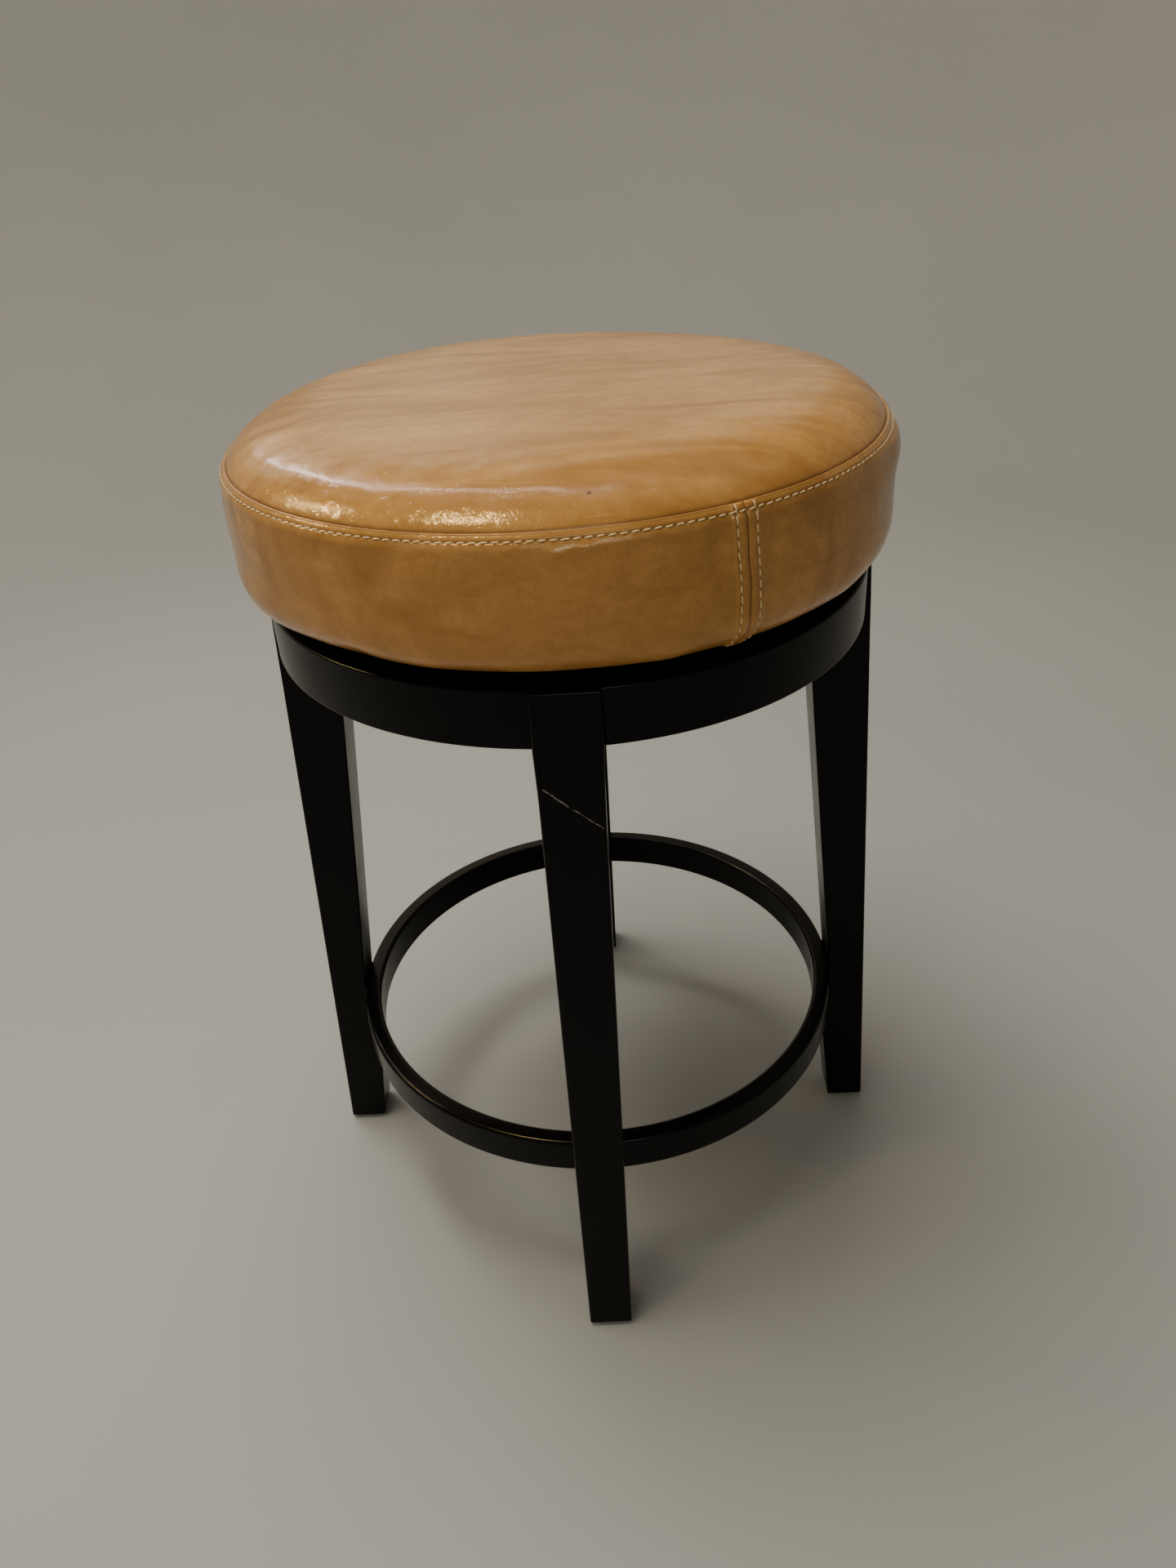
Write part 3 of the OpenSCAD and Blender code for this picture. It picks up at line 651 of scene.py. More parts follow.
def makeLegs():
    low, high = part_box("leg_right")
    ringLow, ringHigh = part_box("footrest_ring")
    levels = legLevels(low, high)
    choose(None)
    bpy.ops.mesh.primitive_cube_add(size=1, location=(low + high) / 2)
    made = bpy.context.object
    made.scale = high - low
    bpy.ops.object.transform_apply(location=True, rotation=True, scale=True)
    editMode(made)
    for z, *_ in levels[1:-1]:
        selectAll()
        bpy.ops.mesh.bisect(plane_co=(0, 0, z), plane_no=(0, 0, 1))
    middle = (low.x + high.x) / 2
    for z, innerX, outerX, half in levels:
        pick(made, "VERT", lambda co: abs(co.z - z) < tiny)
        bpy.ops.transform.resize(value=((outerX - innerX) / (high.x - low.x), half / high.y, 1),
                                 center_override=(middle, 0, z))
        bpy.ops.transform.translate(value=((innerX + outerX) / 2 - middle, 0, 0))
    roundEdges(made, leg["edge"], 3)
    choose(None)
    seatHeight = ringHigh.z - ringLow.z + 2 * leg["gap"]
    bpy.ops.mesh.primitive_cylinder_add(vertices=leg["cutSides"], radius=ringHigh.x + leg["gap"],
                                        depth=seatHeight, location=(0, 0, (ringLow.z + ringHigh.z) / 2))
    cutAway(made, bpy.context.object)
    shadeFlatFacesFlat(made)
    paint = blackPaint("blackPaintLegs", "Z")
    scuffed = blackPaint("blackPaintScuffed", "Z", scratch=True)
    placeCopies(made, leg["places"], paint, {"frontLeg": scuffed})
    print("legs made")


# Apron and footrest, both bent from a straight bar

# A rectangular bar with rounded corners, spun round the stool's axis
def spunBar(inner, outer, lowZ, highZ, corner, segments, angle, steps):
    choose(None)
    bpy.ops.mesh.primitive_plane_add(size=1, location=((inner + outer) / 2, 0, (lowZ + highZ) / 2),
                                     rotation=(math.pi / 2, 0, 0))
    bar = bpy.context.object
    bar.scale = (outer - inner, highZ - lowZ, 1)
    bpy.ops.object.transform_apply(location=True, rotation=True, scale=True)
    editMode(bar)
    bpy.ops.mesh.bevel(offset=corner, segments=segments, affect="VERTICES")
    selectAll()
    bpy.ops.mesh.spin(steps=steps, angle=-math.radians(angle), center=(0, 0, 0), axis=(0, 0, 1))
    if angle == 360:
        pick(bar, "FACE", lambda middle: abs(middle.y) < tiny / 10 and middle.x > 0)
        bpy.ops.mesh.delete(type="ONLY_FACE")
    selectAll()
    bpy.ops.mesh.remove_doubles(threshold=tiny)
    bpy.ops.mesh.normals_make_consistent(inside=False)
    bpy.ops.object.mode_set(mode="OBJECT")
    return bar


apron = {
    "thickness": 18 * mm,
    "corner": 1.5 * mm,
    "groove": 2.0 * mm,      # chamfer beside each leg
    "endRound": 0.4 * mm,
    "steps": 60,
    "places": {"apronBackRight": ("apron_back_right", 0), "apronBackLeft": ("apron_back_left", 90),
               "apronFrontLeft": ("apron_front_left", 180),
               "apronFrontRight": ("apron_front_right", -90)},
}


def makeApron():
    low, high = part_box("apron_back_right")
    outer = math.hypot(high.x, low.y)
    made = spunBar(outer - apron["thickness"], outer, low.z, high.z, apron["corner"], 3, 90,
                   apron["steps"])
    editMode(made)
    for axis in ((1, 0, 0), (0, 1, 0)):
        selectAll()
        bpy.ops.mesh.bisect(plane_co=(low.x, low.y, 0), plane_no=axis, clear_inner=True, use_fill=True)
    nearEnd = 5 * tiny
    for axis in (0, 1):
        pick(made, "EDGE", lambda middle: abs(middle[axis] - low[axis]) < nearEnd
             and math.hypot(middle.x, middle.y) > outer - nearEnd)
        bpy.ops.mesh.bevel(offset=apron["groove"], segments=2, affect="EDGES")
    roundEdges(made, apron["endRound"], 2, 50)
    shadeFlatFacesFlat(made)
    placeCopies(made, apron["places"], blackPaint("blackPaintApron", "Z"))
    print("apron made")


footrest = {
    "thickness": 13 * mm,
    "corner": 3.0 * mm,
    "cornerSteps": 5,
    "steps": 216,
    "screwHead": 5.2 * mm,   # radius of the countersink's mouth
    "screwShank": 2.6 * mm,
    "cutterReach": 2 * mm,   # how far inside the ring's hollow the cutter starts
}


def makeFootrest():
    low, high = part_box("footrest_ring")
    inner = high.x - footrest["thickness"]
    made = spunBar(inner, high.x, low.z, high.z, footrest["corner"], footrest["cornerSteps"], 360,
                   footrest["steps"])
    depth, reach = footrest["screwShank"], footrest["cutterReach"]
    for degrees in (0, 90, 180, 270):
        choose(None)
        place = turned(degrees) @ Vector((inner + (depth - reach) / 2, 0, (low.z + high.z) / 2))
        bpy.ops.mesh.primitive_cone_add(vertices=32, radius1=footrest["screwHead"] + reach, radius2=depth,
                                        depth=depth + reach, location=place,
                                        rotation=(0, math.pi / 2, math.radians(degrees)))
        cutAway(made, bpy.context.object)
    shadeFlatFacesFlat(made)
    finishPiece(made, "footrestRing", "base", blackPaint("blackPaintFootrest", "Z"),
                ["footrest_ring"])
    print("footrest made")


# Seat cover: sizes in metres; angles run from the front (-Y) towards the right (+X)

seat = {
    "seamGap": 0.3 * mm,
    "stitchCount": 226,
    "columnsPerStitch": 4,
    "leather": 1.2 * mm,
    # top panel
    "crownPower": 11,
    "dome": 2.5 * mm,            # slight doming of the flat middle
    "rollDrop": 1.4 * mm,        # how far the edge rolls down into the seam
    "rollReach": 2.5 * mm,
    "seamDip": (0.9, 0.6),       # depth and half width of the groove at the seam (mm)
    # degrees, rise (mm): the pad has settled more at its back right
    "swell": [(-180, -0.3), (-150, 2.4), (-120, 2.4), (-95, 1.3), (-70, 0.9), (-20, 0), (30, 0),
              (70, 1.5), (95, 0.9), (120, -2.2), (150, -2.8), (180, -0.3)],
    "swellFade": (0, 12),        # the cover is free to swell this far from the seam (mm)
    "creaseHeight": 0.9 * mm,
    "creaseSharp": 2.0 * mm,
    "creaseReach": 9 * mm,
    # degrees, radius (mm), strength of the soft ridge where the flat top ends
    "crease": [(-180, 186, 0.2), (-120, 187, 0.3), (-75, 191, 0.6), (-62, 190.1, 0.95),
               (-56, 188.9, 1.0), (-50, 187.7, 1.0), (-43, 187.7, 1.0), (-31, 187.4, 1.0),
               (-26, 188.2, 1.0), (-22, 187.2, 1.0), (-18, 185.7, 1.0), (-4, 185.7, 1.0),
               (1, 188.7, 0.95), (6, 192.0, 0.8), (12, 193, 0.45), (26, 190, 0.25), (90, 187, 0.3),
               (180, 186, 0.2)],
    # small marks on the rolled edge: degrees, distance from the seam, half width, half height, rise (mm)
    "topMarks": [(-37.5, 5.1, 7, 3.0, 0.45), (-13.3, 3.7, 15, 2.2, 0.26), (7.4, 2.9, 7.5, 0.6, 0.34)],
    # side band
    "lapWidth": 3.3 * mm,
    "lapDrop": 3.6 * mm,
    "lapCrown": (2.5, 0.55),     # middle and rise of the rounded lap above the stitches (mm)
    "row": 5.3 * mm,             # topstitching, from the seam down
    "belowRow": (-2, 8),         # the band is free to pucker from here: start, length (mm)
    "aboveTurn": (-2, 5),
    "bulgeAt": 0.43,
    "upperCurve": 3.4,           # how late the band turns in above the bulge, and below it
    "lowerCurve": 4,
    "tuck": 14.5 * mm,           # how far it draws in at the bottom
    "turnIn": 32 * mm,           # how far it is turned in under the board
    "underRings": (2.2, 6, 12, 20, 31, 51, 86, 136, 196),   # the panel's inner side, from the seam (mm)
    # how the worn pad has settled: its top shifts and tips a little
    "shift": -1.9 * mm,
    "tipRight": 0.0105,
    "tipBack": -0.008,
}

# Relief of the band's upper edge: distance from the seam, half width, rise (mm)
lapMarks = [
    (0, 0.42, -1.8),         # dives into the seam
    (1.1, 0.55, 0.35),       # folded edge
    (5.3, 0.62, -0.42),      # topstitch channel
    (9.2, 2.8, 0.55),        # puffs out again below it
]

# The seam that closes the band: a raised strip with a sunken joint and two stitch rows
bandSeam = {
    "at": 28.4,              # degrees
    "row": 6.0 * mm,         # the stitch rows, to either side of the joint
    "strip": (9.5, 2.5, 0.75),   # half width, width of its slopes, rise (mm)
    # distance to either side, half width, rise (mm): puffed leather, joint, stitch rows
    "marks": [(3.0, 1.6, 0.30), (0, 0.55, -1.5), (6.0, 0.8, -0.65)],
    "shades": [(0, 0.30, 0.9), (6.0, 0.6, 0.30)],   # the same for the painted shade in the joint and along the rows
    # its slow and quick waver to the sides: size and length (mm), and where it starts (radians)
    "waver": [(0.5, 11, 0), (0.3, 4.3, 1)],
    # bunched leather where it turns under: distance above that, rise, half height, half width (mm)
    "bulk": (2, 0.9, 5, 8),
    "start": (0.8, 1.5),     # where it rises below the upper seam, and over what length (mm)
    "columns": (11, 0.4, 0.4),   # closer columns of points: reach, step, gap to the others (mm)
    "thread": (1.5, 6),      # its stitch rows begin below the seam and end past the turn (mm)
}

# Small bulges and hollows of the band, given as the marks on the rolled edge are
seatPuckers = [
    (5, 9.8, 6, 3.0, 0.9), (1.0, 13, 7, 4.5, 1.2), (-6, 16, 9, 5, 0.8), (-13, 12, 14, 6, 0.6),
    (-24, 26, 14, 12, -0.5), (-31, 12, 9, 5, 0.5), (-48, 14, 12, 7, 0.4), (12, 20, 8, 9, -0.4),
    (23.6, 21, 5.5, 11, -1.7), (32.6, 32, 5, 16, -0.9), (36.5, 16, 7, 10, 0.5), (45, 11, 8, 4, 0.5),
    (56, 22, 14, 12, -0.4), (-64, 26, 16, 14, -0.5), (-80, 14, 10, 6, 0.5), (70, 13, 9, 5, 0.5),
    (18, 54, 16, 12, 0.5), (-6, 51, 20, 14, -0.35), (-36, 56, 20, 12, 0.4),
    (-60, 70, 44, 13, 2.6), (-57, 81, 40, 7, 2.0), (76, 17, 36, 12, 3.2),
    # along the lower edge
    (-34, 78, 12, 9, -0.9), (-22, 79, 22, 9, 0.7), (4, 79, 14, 9, -0.7), (16, 79, 14, 9, 1.0),
    (31, 79, 16, 9, -0.5), (52, 78, 16, 9, 0.7),
]

# The same kind of marks all round the sides that face away
farPuckers = {
    "count": 26,
    "from": 85,              # degrees
    "step": 7.3,
    "stray": 2,
    "away": (13, 60),
    "wide": (6, 16),
    "high": (4, 14),
    "rise": 0.45,
    "share": (0.6, 1.1),
}

# Gathered folds of the turned-in edge under the seat
pleats = {
    "waves": (34, 47, 61, 78),   # round the seat
    "depth": 0.9 * mm,
    "below": 0.15,           # waves lower than this leave no fold
    "sharp": 0.7,
    "fade": (-3, 6),         # where they begin at the turn, and over what length (mm)
}

# The dimple round each hole of the topstitching, and the painted shadow in it
needleHole = {
    "pitch": 5.8 * mm,
    "radius": 0.6 * mm,
    "depth": 0.30 * mm,
    "shade": 0.6,
}


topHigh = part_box("seat_cover_top")[1]
bandLow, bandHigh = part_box("seat_cover_band")
seamRadius = topHigh.x + seat["seamGap"]
bandRadius = bandHigh.x
topZ, seamZ, bottomZ = topHigh.z, bandHigh.z, bandLow.z


def evenAngles(count):
    return np.arange(count) * fullTurn / count - math.pi


def columnAngles():
    count = seat["stitchCount"] * seat["columnsPerStitch"]
    even = evenAngles(count)
    place = math.radians(bandSeam["at"])
    reach, step, gap = bandSeam["columns"]
    near = place + np.arange(-reach, reach + 0.01, step) * mm / bandRadius
    keep = np.abs(even - place) > (reach + gap) * mm / bandRadius
    return np.sort(np.concatenate([even[keep], near]))


# Smooth values round the circle from a few (degrees, value) pairs
def roundTheSeat(angles, pairs, blur=6):
    degrees = np.degrees(angles)
    total = np.zeros_like(degrees)
    shifts = np.linspace(-blur, blur, 9)
    for shift in shifts:
        wrapped = (degrees + shift + 180) % 360 - 180
        total += np.interp(wrapped, [p[0] for p in pairs], [p[1] for p in pairs])
    return total / len(shifts)


def bell(distance, width):
    return np.exp(-(distance / width) ** 2)


# The sum of small ridges and channels, each with its place, half width and rise (mm)
def ridges(distance, marks):
    return sum(rise * mm * bell(distance - place * mm, width * mm) for place, width, rise in marks)


def topHeight(radius, angles):
    share = radius / seamRadius
    crown = topZ - seamZ - seat["dome"]
    height = seamZ + crown * (1 - share ** seat["crownPower"])
    height = height + seat["dome"] * (1 - share ** 2)
    roll = seat["rollDrop"] * np.exp((radius - seamRadius) / seat["rollReach"])
    creaseAt = roundTheSeat(angles, [(c[0], c[1] * mm) for c in seat["crease"]], 2.5)
    rise = seat["creaseHeight"] * roundTheSeat(angles, [(c[0], c[2]) for c in seat["crease"]])
    swell = roundTheSeat(angles, seat["swell"], 12) * mm * share ** 3 * (1 - share ** 16)
    away = np.sqrt((radius - creaseAt) ** 2 + seat["creaseSharp"] ** 2) - seat["creaseSharp"]
    return height - roll + swell + rise * np.exp(-away / seat["creaseReach"])


# The band's plain outline from the seam down to the turned-in edge, with its distance and normal
def bandPath():
    startR, startZ = seamRadius + seat["seamGap"] * 0.4, seamZ
    stitchR, stitchZ = startR + seat["lapWidth"], startZ - seat["lapDrop"]
    bulgeZ = bottomZ + seat["bulgeAt"] * (stitchZ - bottomZ)
    lift = np.linspace(0, 1, 40)
    lap = np.stack([startR + lift * (stitchR - startR), startZ + lift * (stitchZ - startZ)], 1)
    z = np.linspace(stitchZ, bottomZ + 0.6 * mm, 300)[1:]
    above = np.clip((z - bulgeZ) / (stitchZ - bulgeZ), 0, 1)
    below = np.clip((bulgeZ - z) / (bulgeZ - bottomZ), 0, 1)
    inward = (bandRadius - stitchR) * above ** seat["upperCurve"]
    inward = inward + seat["tuck"] * below ** seat["lowerCurve"]
    side = np.stack([bandRadius - inward, z], 1)
    flat = np.linspace(0, 1, 80)[:, None]
    under = np.array([side[-1, 0] - 1.5 * mm, bottomZ]) + flat * np.array([-seat["turnIn"], 0])
    path = np.concatenate([lap, side, under])
    step = np.linalg.norm(np.diff(path, axis=0), axis=1)
    distance = np.concatenate([[0], np.cumsum(step)])
    even = np.arange(0, distance[-1], 0.2 * mm)
    path = np.stack([np.interp(even, distance, path[:, k]) for k in (0, 1)], 1)
    weights = np.exp(-np.linspace(-2, 2, 19) ** 2)   # smooths over 19 points, 9 to each side
    padded = np.pad(path, ((9, 9), (0, 0)), mode="reflect", reflect_type="odd")
    smooth = np.stack([np.convolve(padded[:, k], weights / weights.sum(), "valid") for k in (0, 1)], 1)
    tangent = np.gradient(smooth, axis=0)
    tangent /= np.linalg.norm(tangent, axis=1)[:, None]
    normal = np.stack([-tangent[:, 1], tangent[:, 0]], 1)
    return even, smooth, normal


# Place and outward direction on the band's outline at distance s from the seam: r, z, nr, nz
def alongPath(path, s):
    even, outline, normals = path
    return [np.interp(s, even, line[:, k]) for line in (outline, normals) for k in (0, 1)]


# How far the leather stands off the plain outline beside the upper seam
def lapRelief(s):
    middle, rise = seat["lapCrown"]
    return rise * mm * np.clip(1 - (s / (middle * mm) - 1) ** 2, 0, 1) + ridges(s, lapMarks)


# Rises smoothly from 0 to 1, beginning at start and over a length (mm)
def ramp(distance, start, length):
    x = np.clip((distance - start * mm) / (length * mm), 0, 1)
    return x * x * (3 - 2 * x)


# Relief of the band's closing seam, and the painted shade in its sunken joint and along its stitch rows
def bandSeamRelief(s, angles, total):
    across = (angles - math.radians(bandSeam["at"])) * bandRadius
    for size, length, start in bandSeam["waver"]:
        across = across + size * mm * np.sin(s / (length * mm) + start)
    side = np.abs(across)
    width, slope, rise = bandSeam["strip"]
    relief = rise * mm * ramp(-side, -width, slope) + ridges(side, bandSeam["marks"])
    above, rise, high, wide = bandSeam["bulk"]
    away = s - (total - seat["turnIn"] - above * mm)
    relief = relief + rise * mm * bell(away, high * mm) * bell(across, wide * mm)
    started = ramp(s, *bandSeam["start"])
    return started * relief, started * ridges(side, bandSeam["shades"]) / mm


def puckerRelief(s, angles):
    relief = np.zeros(np.broadcast(s, angles).shape)
    drawn = random.Random(7)
    marks = list(seatPuckers)
    far = farPuckers
    for index in range(far["count"]):
        marks.append((far["from"] + index * far["step"] + drawn.uniform(-far["stray"], far["stray"]),
                      drawn.uniform(*far["away"]), drawn.uniform(*far["wide"]),
                      drawn.uniform(*far["high"]),
                      drawn.choice((-far["rise"], far["rise"])) * drawn.uniform(*far["share"])))
    for degrees, away, wide, high, rise in marks:
        turn = (angles - math.radians(degrees) + math.pi) % fullTurn - math.pi
        relief = relief + (rise * mm * bell(turn * bandRadius, wide * mm)
                           * bell(s - away * mm, high * mm))
    return relief


def pleatRelief(s, angles, total):
    wave = np.zeros_like(angles)
    drawn = random.Random(11)
    for count in pleats["waves"]:
        wave = wave + np.sin(count * angles + drawn.uniform(0, 6.28)) / len(pleats["waves"])
    folds = -pleats["depth"] * np.clip(wave - pleats["below"], 0, 1) ** pleats["sharp"]
    return folds * ramp(s - (total - seat["turnIn"]), *pleats["fade"])


def polar(radius, angles, z):
    radius, z = np.broadcast_arrays(radius + 0 * angles, z + 0 * angles)
    return np.stack([radius * np.sin(angles), -radius * np.cos(angles), z], -1)


def topSurface(radius, angles, swell=0.0):
    away = seamRadius - radius
    height = topHeight(radius, angles) + swell * ramp(away, *seat["swellFade"])
    for degrees, inward, wide, high, rise in seat["topMarks"]:
        turn = (angles - math.radians(degrees)) * radius
        height = height + rise * mm * bell(turn, wide * mm) * bell(away - inward * mm, high * mm)
    depth, width = seat["seamDip"]
    return polar(radius, angles, height - depth * mm * bell(away, width * mm))


def bandSurface(s, angles, path, swell=0.0, lift=0.0):
    r, z, nr, nz = alongPath(path, s)
    total = path[0][-1]
    belowRow = s - seat["row"]
    aboveTurn = total - seat["turnIn"] - s
    seamPart, shade = bandSeamRelief(s, angles, total)
    free = ramp(belowRow, *seat["belowRow"]) * ramp(aboveTurn, *seat["aboveTurn"])
    relief = lapRelief(s) + seamPart + pleatRelief(s, angles, total) + lift
    relief = relief + (puckerRelief(s, angles) + swell) * free
    hole = seat["stitchCount"] * angles / fullTurn
    nearHole = bell((hole - np.round(hole)) * needleHole["pitch"], needleHole["radius"])
    relief = relief - needleHole["depth"] * nearHole * bell(belowRow, needleHole["radius"])
    # painted shadow in each needle hole
    shade = shade + needleHole["shade"] * nearHole * bell(belowRow - 0.1 * mm, 0.5 * mm)
    shade = shade + bell(s, 0.65 * mm) + 0.12 * bell(belowRow, 0.7 * mm)   # painted shade in the seam groove and the stitch channel
    return polar(r + nr * relief, angles, z + nz * relief), np.clip(shade, 0, 1)


# The top of the worn pad leans a little over its board
def settle(piece):
    points = readPoints(piece)
    height = seamZ - bottomZ
    share = np.clip((points[:, 2] - bottomZ) / height, 0, 1)
    points[:, 2] += (seat["tipRight"] * points[:, 0] + seat["tipBack"] * points[:, 1]) * share
    points[:, 0] += seat["shift"] * share
    piece.data.vertices.foreach_set("co", points.ravel())
    piece.data.update()


# Rings of points joined into a closed skin; poles are given as single end points
def skin(name, rings, startPole=None, endPole=None):
    ringCount, count = rings.shape[:2]
    points = [tuple(p) for p in rings.reshape(-1, 3)]
    faces = []
    closed = startPole is None
    for i in range(ringCount if closed else ringCount - 1):
        a, b = i * count, (i + 1) % ringCount * count
        faces += [(a + j, a + (j + 1) % count, b + (j + 1) % count, b + j) for j in range(count)]
    if not closed:
        first, final, last = len(points), len(points) + 1, (ringCount - 1) * count
        points += [tuple(startPole), tuple(endPole)]
        faces += [(first, (j + 1) % count, j) for j in range(count)]
        faces += [(final, last + j, last + (j + 1) % count) for j in range(count)]
    piece = meshPiece(name, points, faces)
    bpy.ops.object.shade_smooth()
    return piece


# Stores the painted shade of the seam grooves, stitch channels and needle holes; the inner rings stay at 0
def addShade(piece, values):
    layer = piece.data.attributes.new("seamShade", "FLOAT", "POINT")
    filled = np.zeros(len(piece.data.vertices), np.float32)
    filled[:len(values)] = values
    layer.data.foreach_set("value", filled)


# The pad: foam pressed into the cover, swollen by Cloth with air pressure

pad = {
    "inset": 2.2 * mm,
    "voxel": 6 * mm,
    "columns": 144,
    "pressure": 4.0,
    "steps": 20,
    "rings": (12 * mm, 30),   # radius of the first ring of the top, and how many there are
    "sideStart": 4.5 * mm,  # the side's first ring, from the seam
    "sideStep": 5 * mm,
    "topEdge": (3 * mm, 4 * mm),   # the top ends this far inside the seam and below it
    "heldSeam": 6 * mm,     # what the seam and the board hold still
    "heldBase": 7 * mm,
    "slackScale": 26,
    "slackReach": 26 * mm,  # the leather is slacker this near the seam
    "cloth": {"quality": 6, "tension_stiffness": 12, "compression_stiffness": 12,
              "bending_stiffness": 0.4, "shrink_min": 0.0, "shrink_max": -0.06},
    "capTop": 0.30 * mm,    # how far its uneven swelling may go, on the top and on the side
    "capSide": 0.75 * mm,
    "gain": 1.6,
    "topBand": 8 * mm,      # width of the rings whose middle swelling is taken out
    "sideBand": 6 * mm,
    "boardGap": 0.3 * mm,
    "shrink": 1.2 * mm,     # the finished foam lies this much inside the swollen pad
}


def makePad():
    angles = evenAngles(pad["columns"])
    path = bandPath()
    first, count = pad["rings"]
    radii = np.linspace(first, seamRadius - pad["sideStep"] / 2, count)
    rings = [polar(r, angles, topHeight(r, angles) - pad["inset"]) for r in radii]
    for s in np.arange(pad["sideStart"], path[0][-1], pad["sideStep"]):
        r, z, nr, nz = alongPath(path, s)
        rings.append(polar(r - nr * pad["inset"], angles, z - nz * pad["inset"]))
    made = skin("foamPad", np.array(rings), (0, 0, topZ - pad["inset"]),
                (0, 0, bottomZ + pad["inset"]))
    applyModifier(made, "REMESH", mode="VOXEL", voxel_size=pad["voxel"])
    return made


def readPoints(piece):
    points = np.empty(len(piece.data.vertices) * 3)
    piece.data.vertices.foreach_get("co", points)
    return points.reshape(-1, 3)


# Weights for Cloth: what the seams and the board hold, and where the leather is slack
def pinPad(made):
    held = made.vertex_groups.new(name="held")
    slack = made.vertex_groups.new(name="slack")
    seam = Vector((seamRadius, seamZ - pad["inset"]))
    for vert in made.data.vertices:
        away = (Vector((vert.co.xy.length, vert.co.z)) - seam).length
        if away < pad["heldSeam"] or vert.co.z < bottomZ + pad["heldBase"]:
            held.add([vert.index], 1.0, "REPLACE")
        wander = noise.fractal(vert.co * pad["slackScale"], 0.8, 2.0, 3) * 0.5 + 0.5
        nearSeam = math.exp(-(away / pad["slackReach"]) ** 2)
        slack.add([vert.index], max(0.0, min(1.0, wander * (0.45 + 0.9 * nearSeam))), "REPLACE")


def swellPad(made):
    pinPad(made)
    before = readPoints(made)
    choose(made)
    cloth = made.modifiers.new("Cloth", "CLOTH")
    setAll(cloth.settings, pad["cloth"])
    cloth.settings.vertex_group_mass = "held"
    cloth.settings.vertex_group_shrink = "slack"
    cloth.settings.use_pressure = True
    cloth.settings.uniform_pressure_force = pad["pressure"]
    cloth.settings.effector_weights.gravity = 0
    cloth.collision_settings.use_collision = False
    cloth.point_cache.frame_end = pad["steps"]
    for number in range(1, pad["steps"] + 1):
        bpy.context.scene.frame_set(number)
    bpy.ops.object.modifier_apply(modifier="Cloth")
    bpy.context.scene.frame_set(1)
    move = readPoints(made) - before
    length = np.linalg.norm(move, axis=1) / mm
    print("pad swelled: vertices", len(before), "mean", round(float(length.mean()), 2),
          "most", round(float(length.max()), 2), "mm")
    return before, move


# Keeps the uneven part of the swelling: its round part is in the seat's outline already
def evenOut(made, before, move):
    radius = np.hypot(before[:, 0], before[:, 1])
    height = before[:, 2]
    inside, under = pad["topEdge"]
    onTop = (radius < seamRadius - inside) & (height > seamZ - under)
    outward = np.stack([before[:, 0] / radius, before[:, 1] / radius, np.zeros(len(before))], 1)
    outward[onTop] = (0, 0, 1)
    amount = (move * outward).sum(1)
    topBand = (radius / pad["topBand"]).astype(int)
    sideBand = (height / pad["sideBand"]).astype(int)
    bandOf = np.where(onTop, topBand, topBand.max() + 1 + sideBand)
    for band in np.unique(bandOf):
        amount[bandOf == band] -= amount[bandOf == band].mean()
    cap = np.where(onTop, pad["capTop"], pad["capSide"])
    amount = cap * np.tanh(amount * pad["gain"] / cap)
    amount[height < bottomZ + pad["heldBase"]] = 0
    print("cover unevenness: spread", round(float(amount.std()) / mm, 2), "mm")
    made.data.vertices.foreach_set("co", (before + outward * amount[:, None]).ravel())
    made.data.update()
    return amount


# Reads the pad's unevenness near any point
def swellReader(before, amount):
    tree = KDTree(len(before))
    for index, point in enumerate(before):
        tree.insert(point, index)
    tree.balance()

    def read(points):
        flat = points.reshape(-1, 3)
        values = np.zeros(len(flat))
        for i, point in enumerate(flat):
            near = tree.find_n(point, 6)
            weights = [1 / (d + 3 * mm) ** 2 for _, _, d in near]
            values[i] = sum(w * amount[k] for w, (_, k, _) in zip(weights, near)) / sum(weights)
        return values.reshape(points.shape[:-1])

    return read


# Values on a coarse grid of rings and columns, spread over a finer one
def gridReader(read, surface, rows, count=240):
    values = read(np.array([surface(row, evenAngles(count)) for row in rows]))
    table = np.concatenate([values, values[:, :1]], 1)

    def value(row, angles):
        turns = (angles + math.pi) / fullTurn * count
        at = np.interp(row, rows, np.arange(len(rows)))
        i = min(int(at), len(rows) - 2)
        low, high = (np.interp(turns, np.arange(count + 1), table[k]) for k in (i, i + 1))
        return low * (1 - (at - i)) + high * (at - i)

    return value


def makeFoam(made):
    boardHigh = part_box("seat_board")[1]
    applyModifier(made, "DISPLACE", strength=-pad["shrink"], mid_level=0)
    choose(None)
    depth = 60 * mm   # from the board's top down past everything
    bpy.ops.mesh.primitive_cylinder_add(vertices=180, radius=boardHigh.x + pad["boardGap"], depth=depth,
                                        location=(0, 0, boardHigh.z - depth / 2))
    cutAway(made, bpy.context.object)
    settle(made)
    choose(made)
    bpy.ops.object.shade_smooth_by_angle(angle=math.radians(50))
    finishPiece(made, "foamPad", "seat", seatFoam(), ["seat_foam"])
    print("foam made")


# Places from one distance to the next, closer where the leather bends more: from, to, step (mm)
def spaced(*parts):
    return np.concatenate([np.arange(start * mm, end * mm, step * mm) for start, end, step in parts])


def ringSpacing():
    edge = seamRadius / mm
    rings = spaced((4, 150, 6.5), (150, 181, 2.2), (182, edge - 5, 0.8))
    return np.concatenate([rings, np.linspace(edge - 4.6, edge - 0.1, 13) * mm])


def bandSpacing(total):
    under = (total - seat["turnIn"]) / mm
    rings = spaced((3.4, 7.2, 0.42), (7.8, 22, 1.3), (22.5, under - 16, 2.3),
                   (under - 15, under + 5, 1.3), (under + 6, total / mm, 3.5))
    return np.concatenate([np.linspace(0.05, 3.0, 10) * mm, rings])


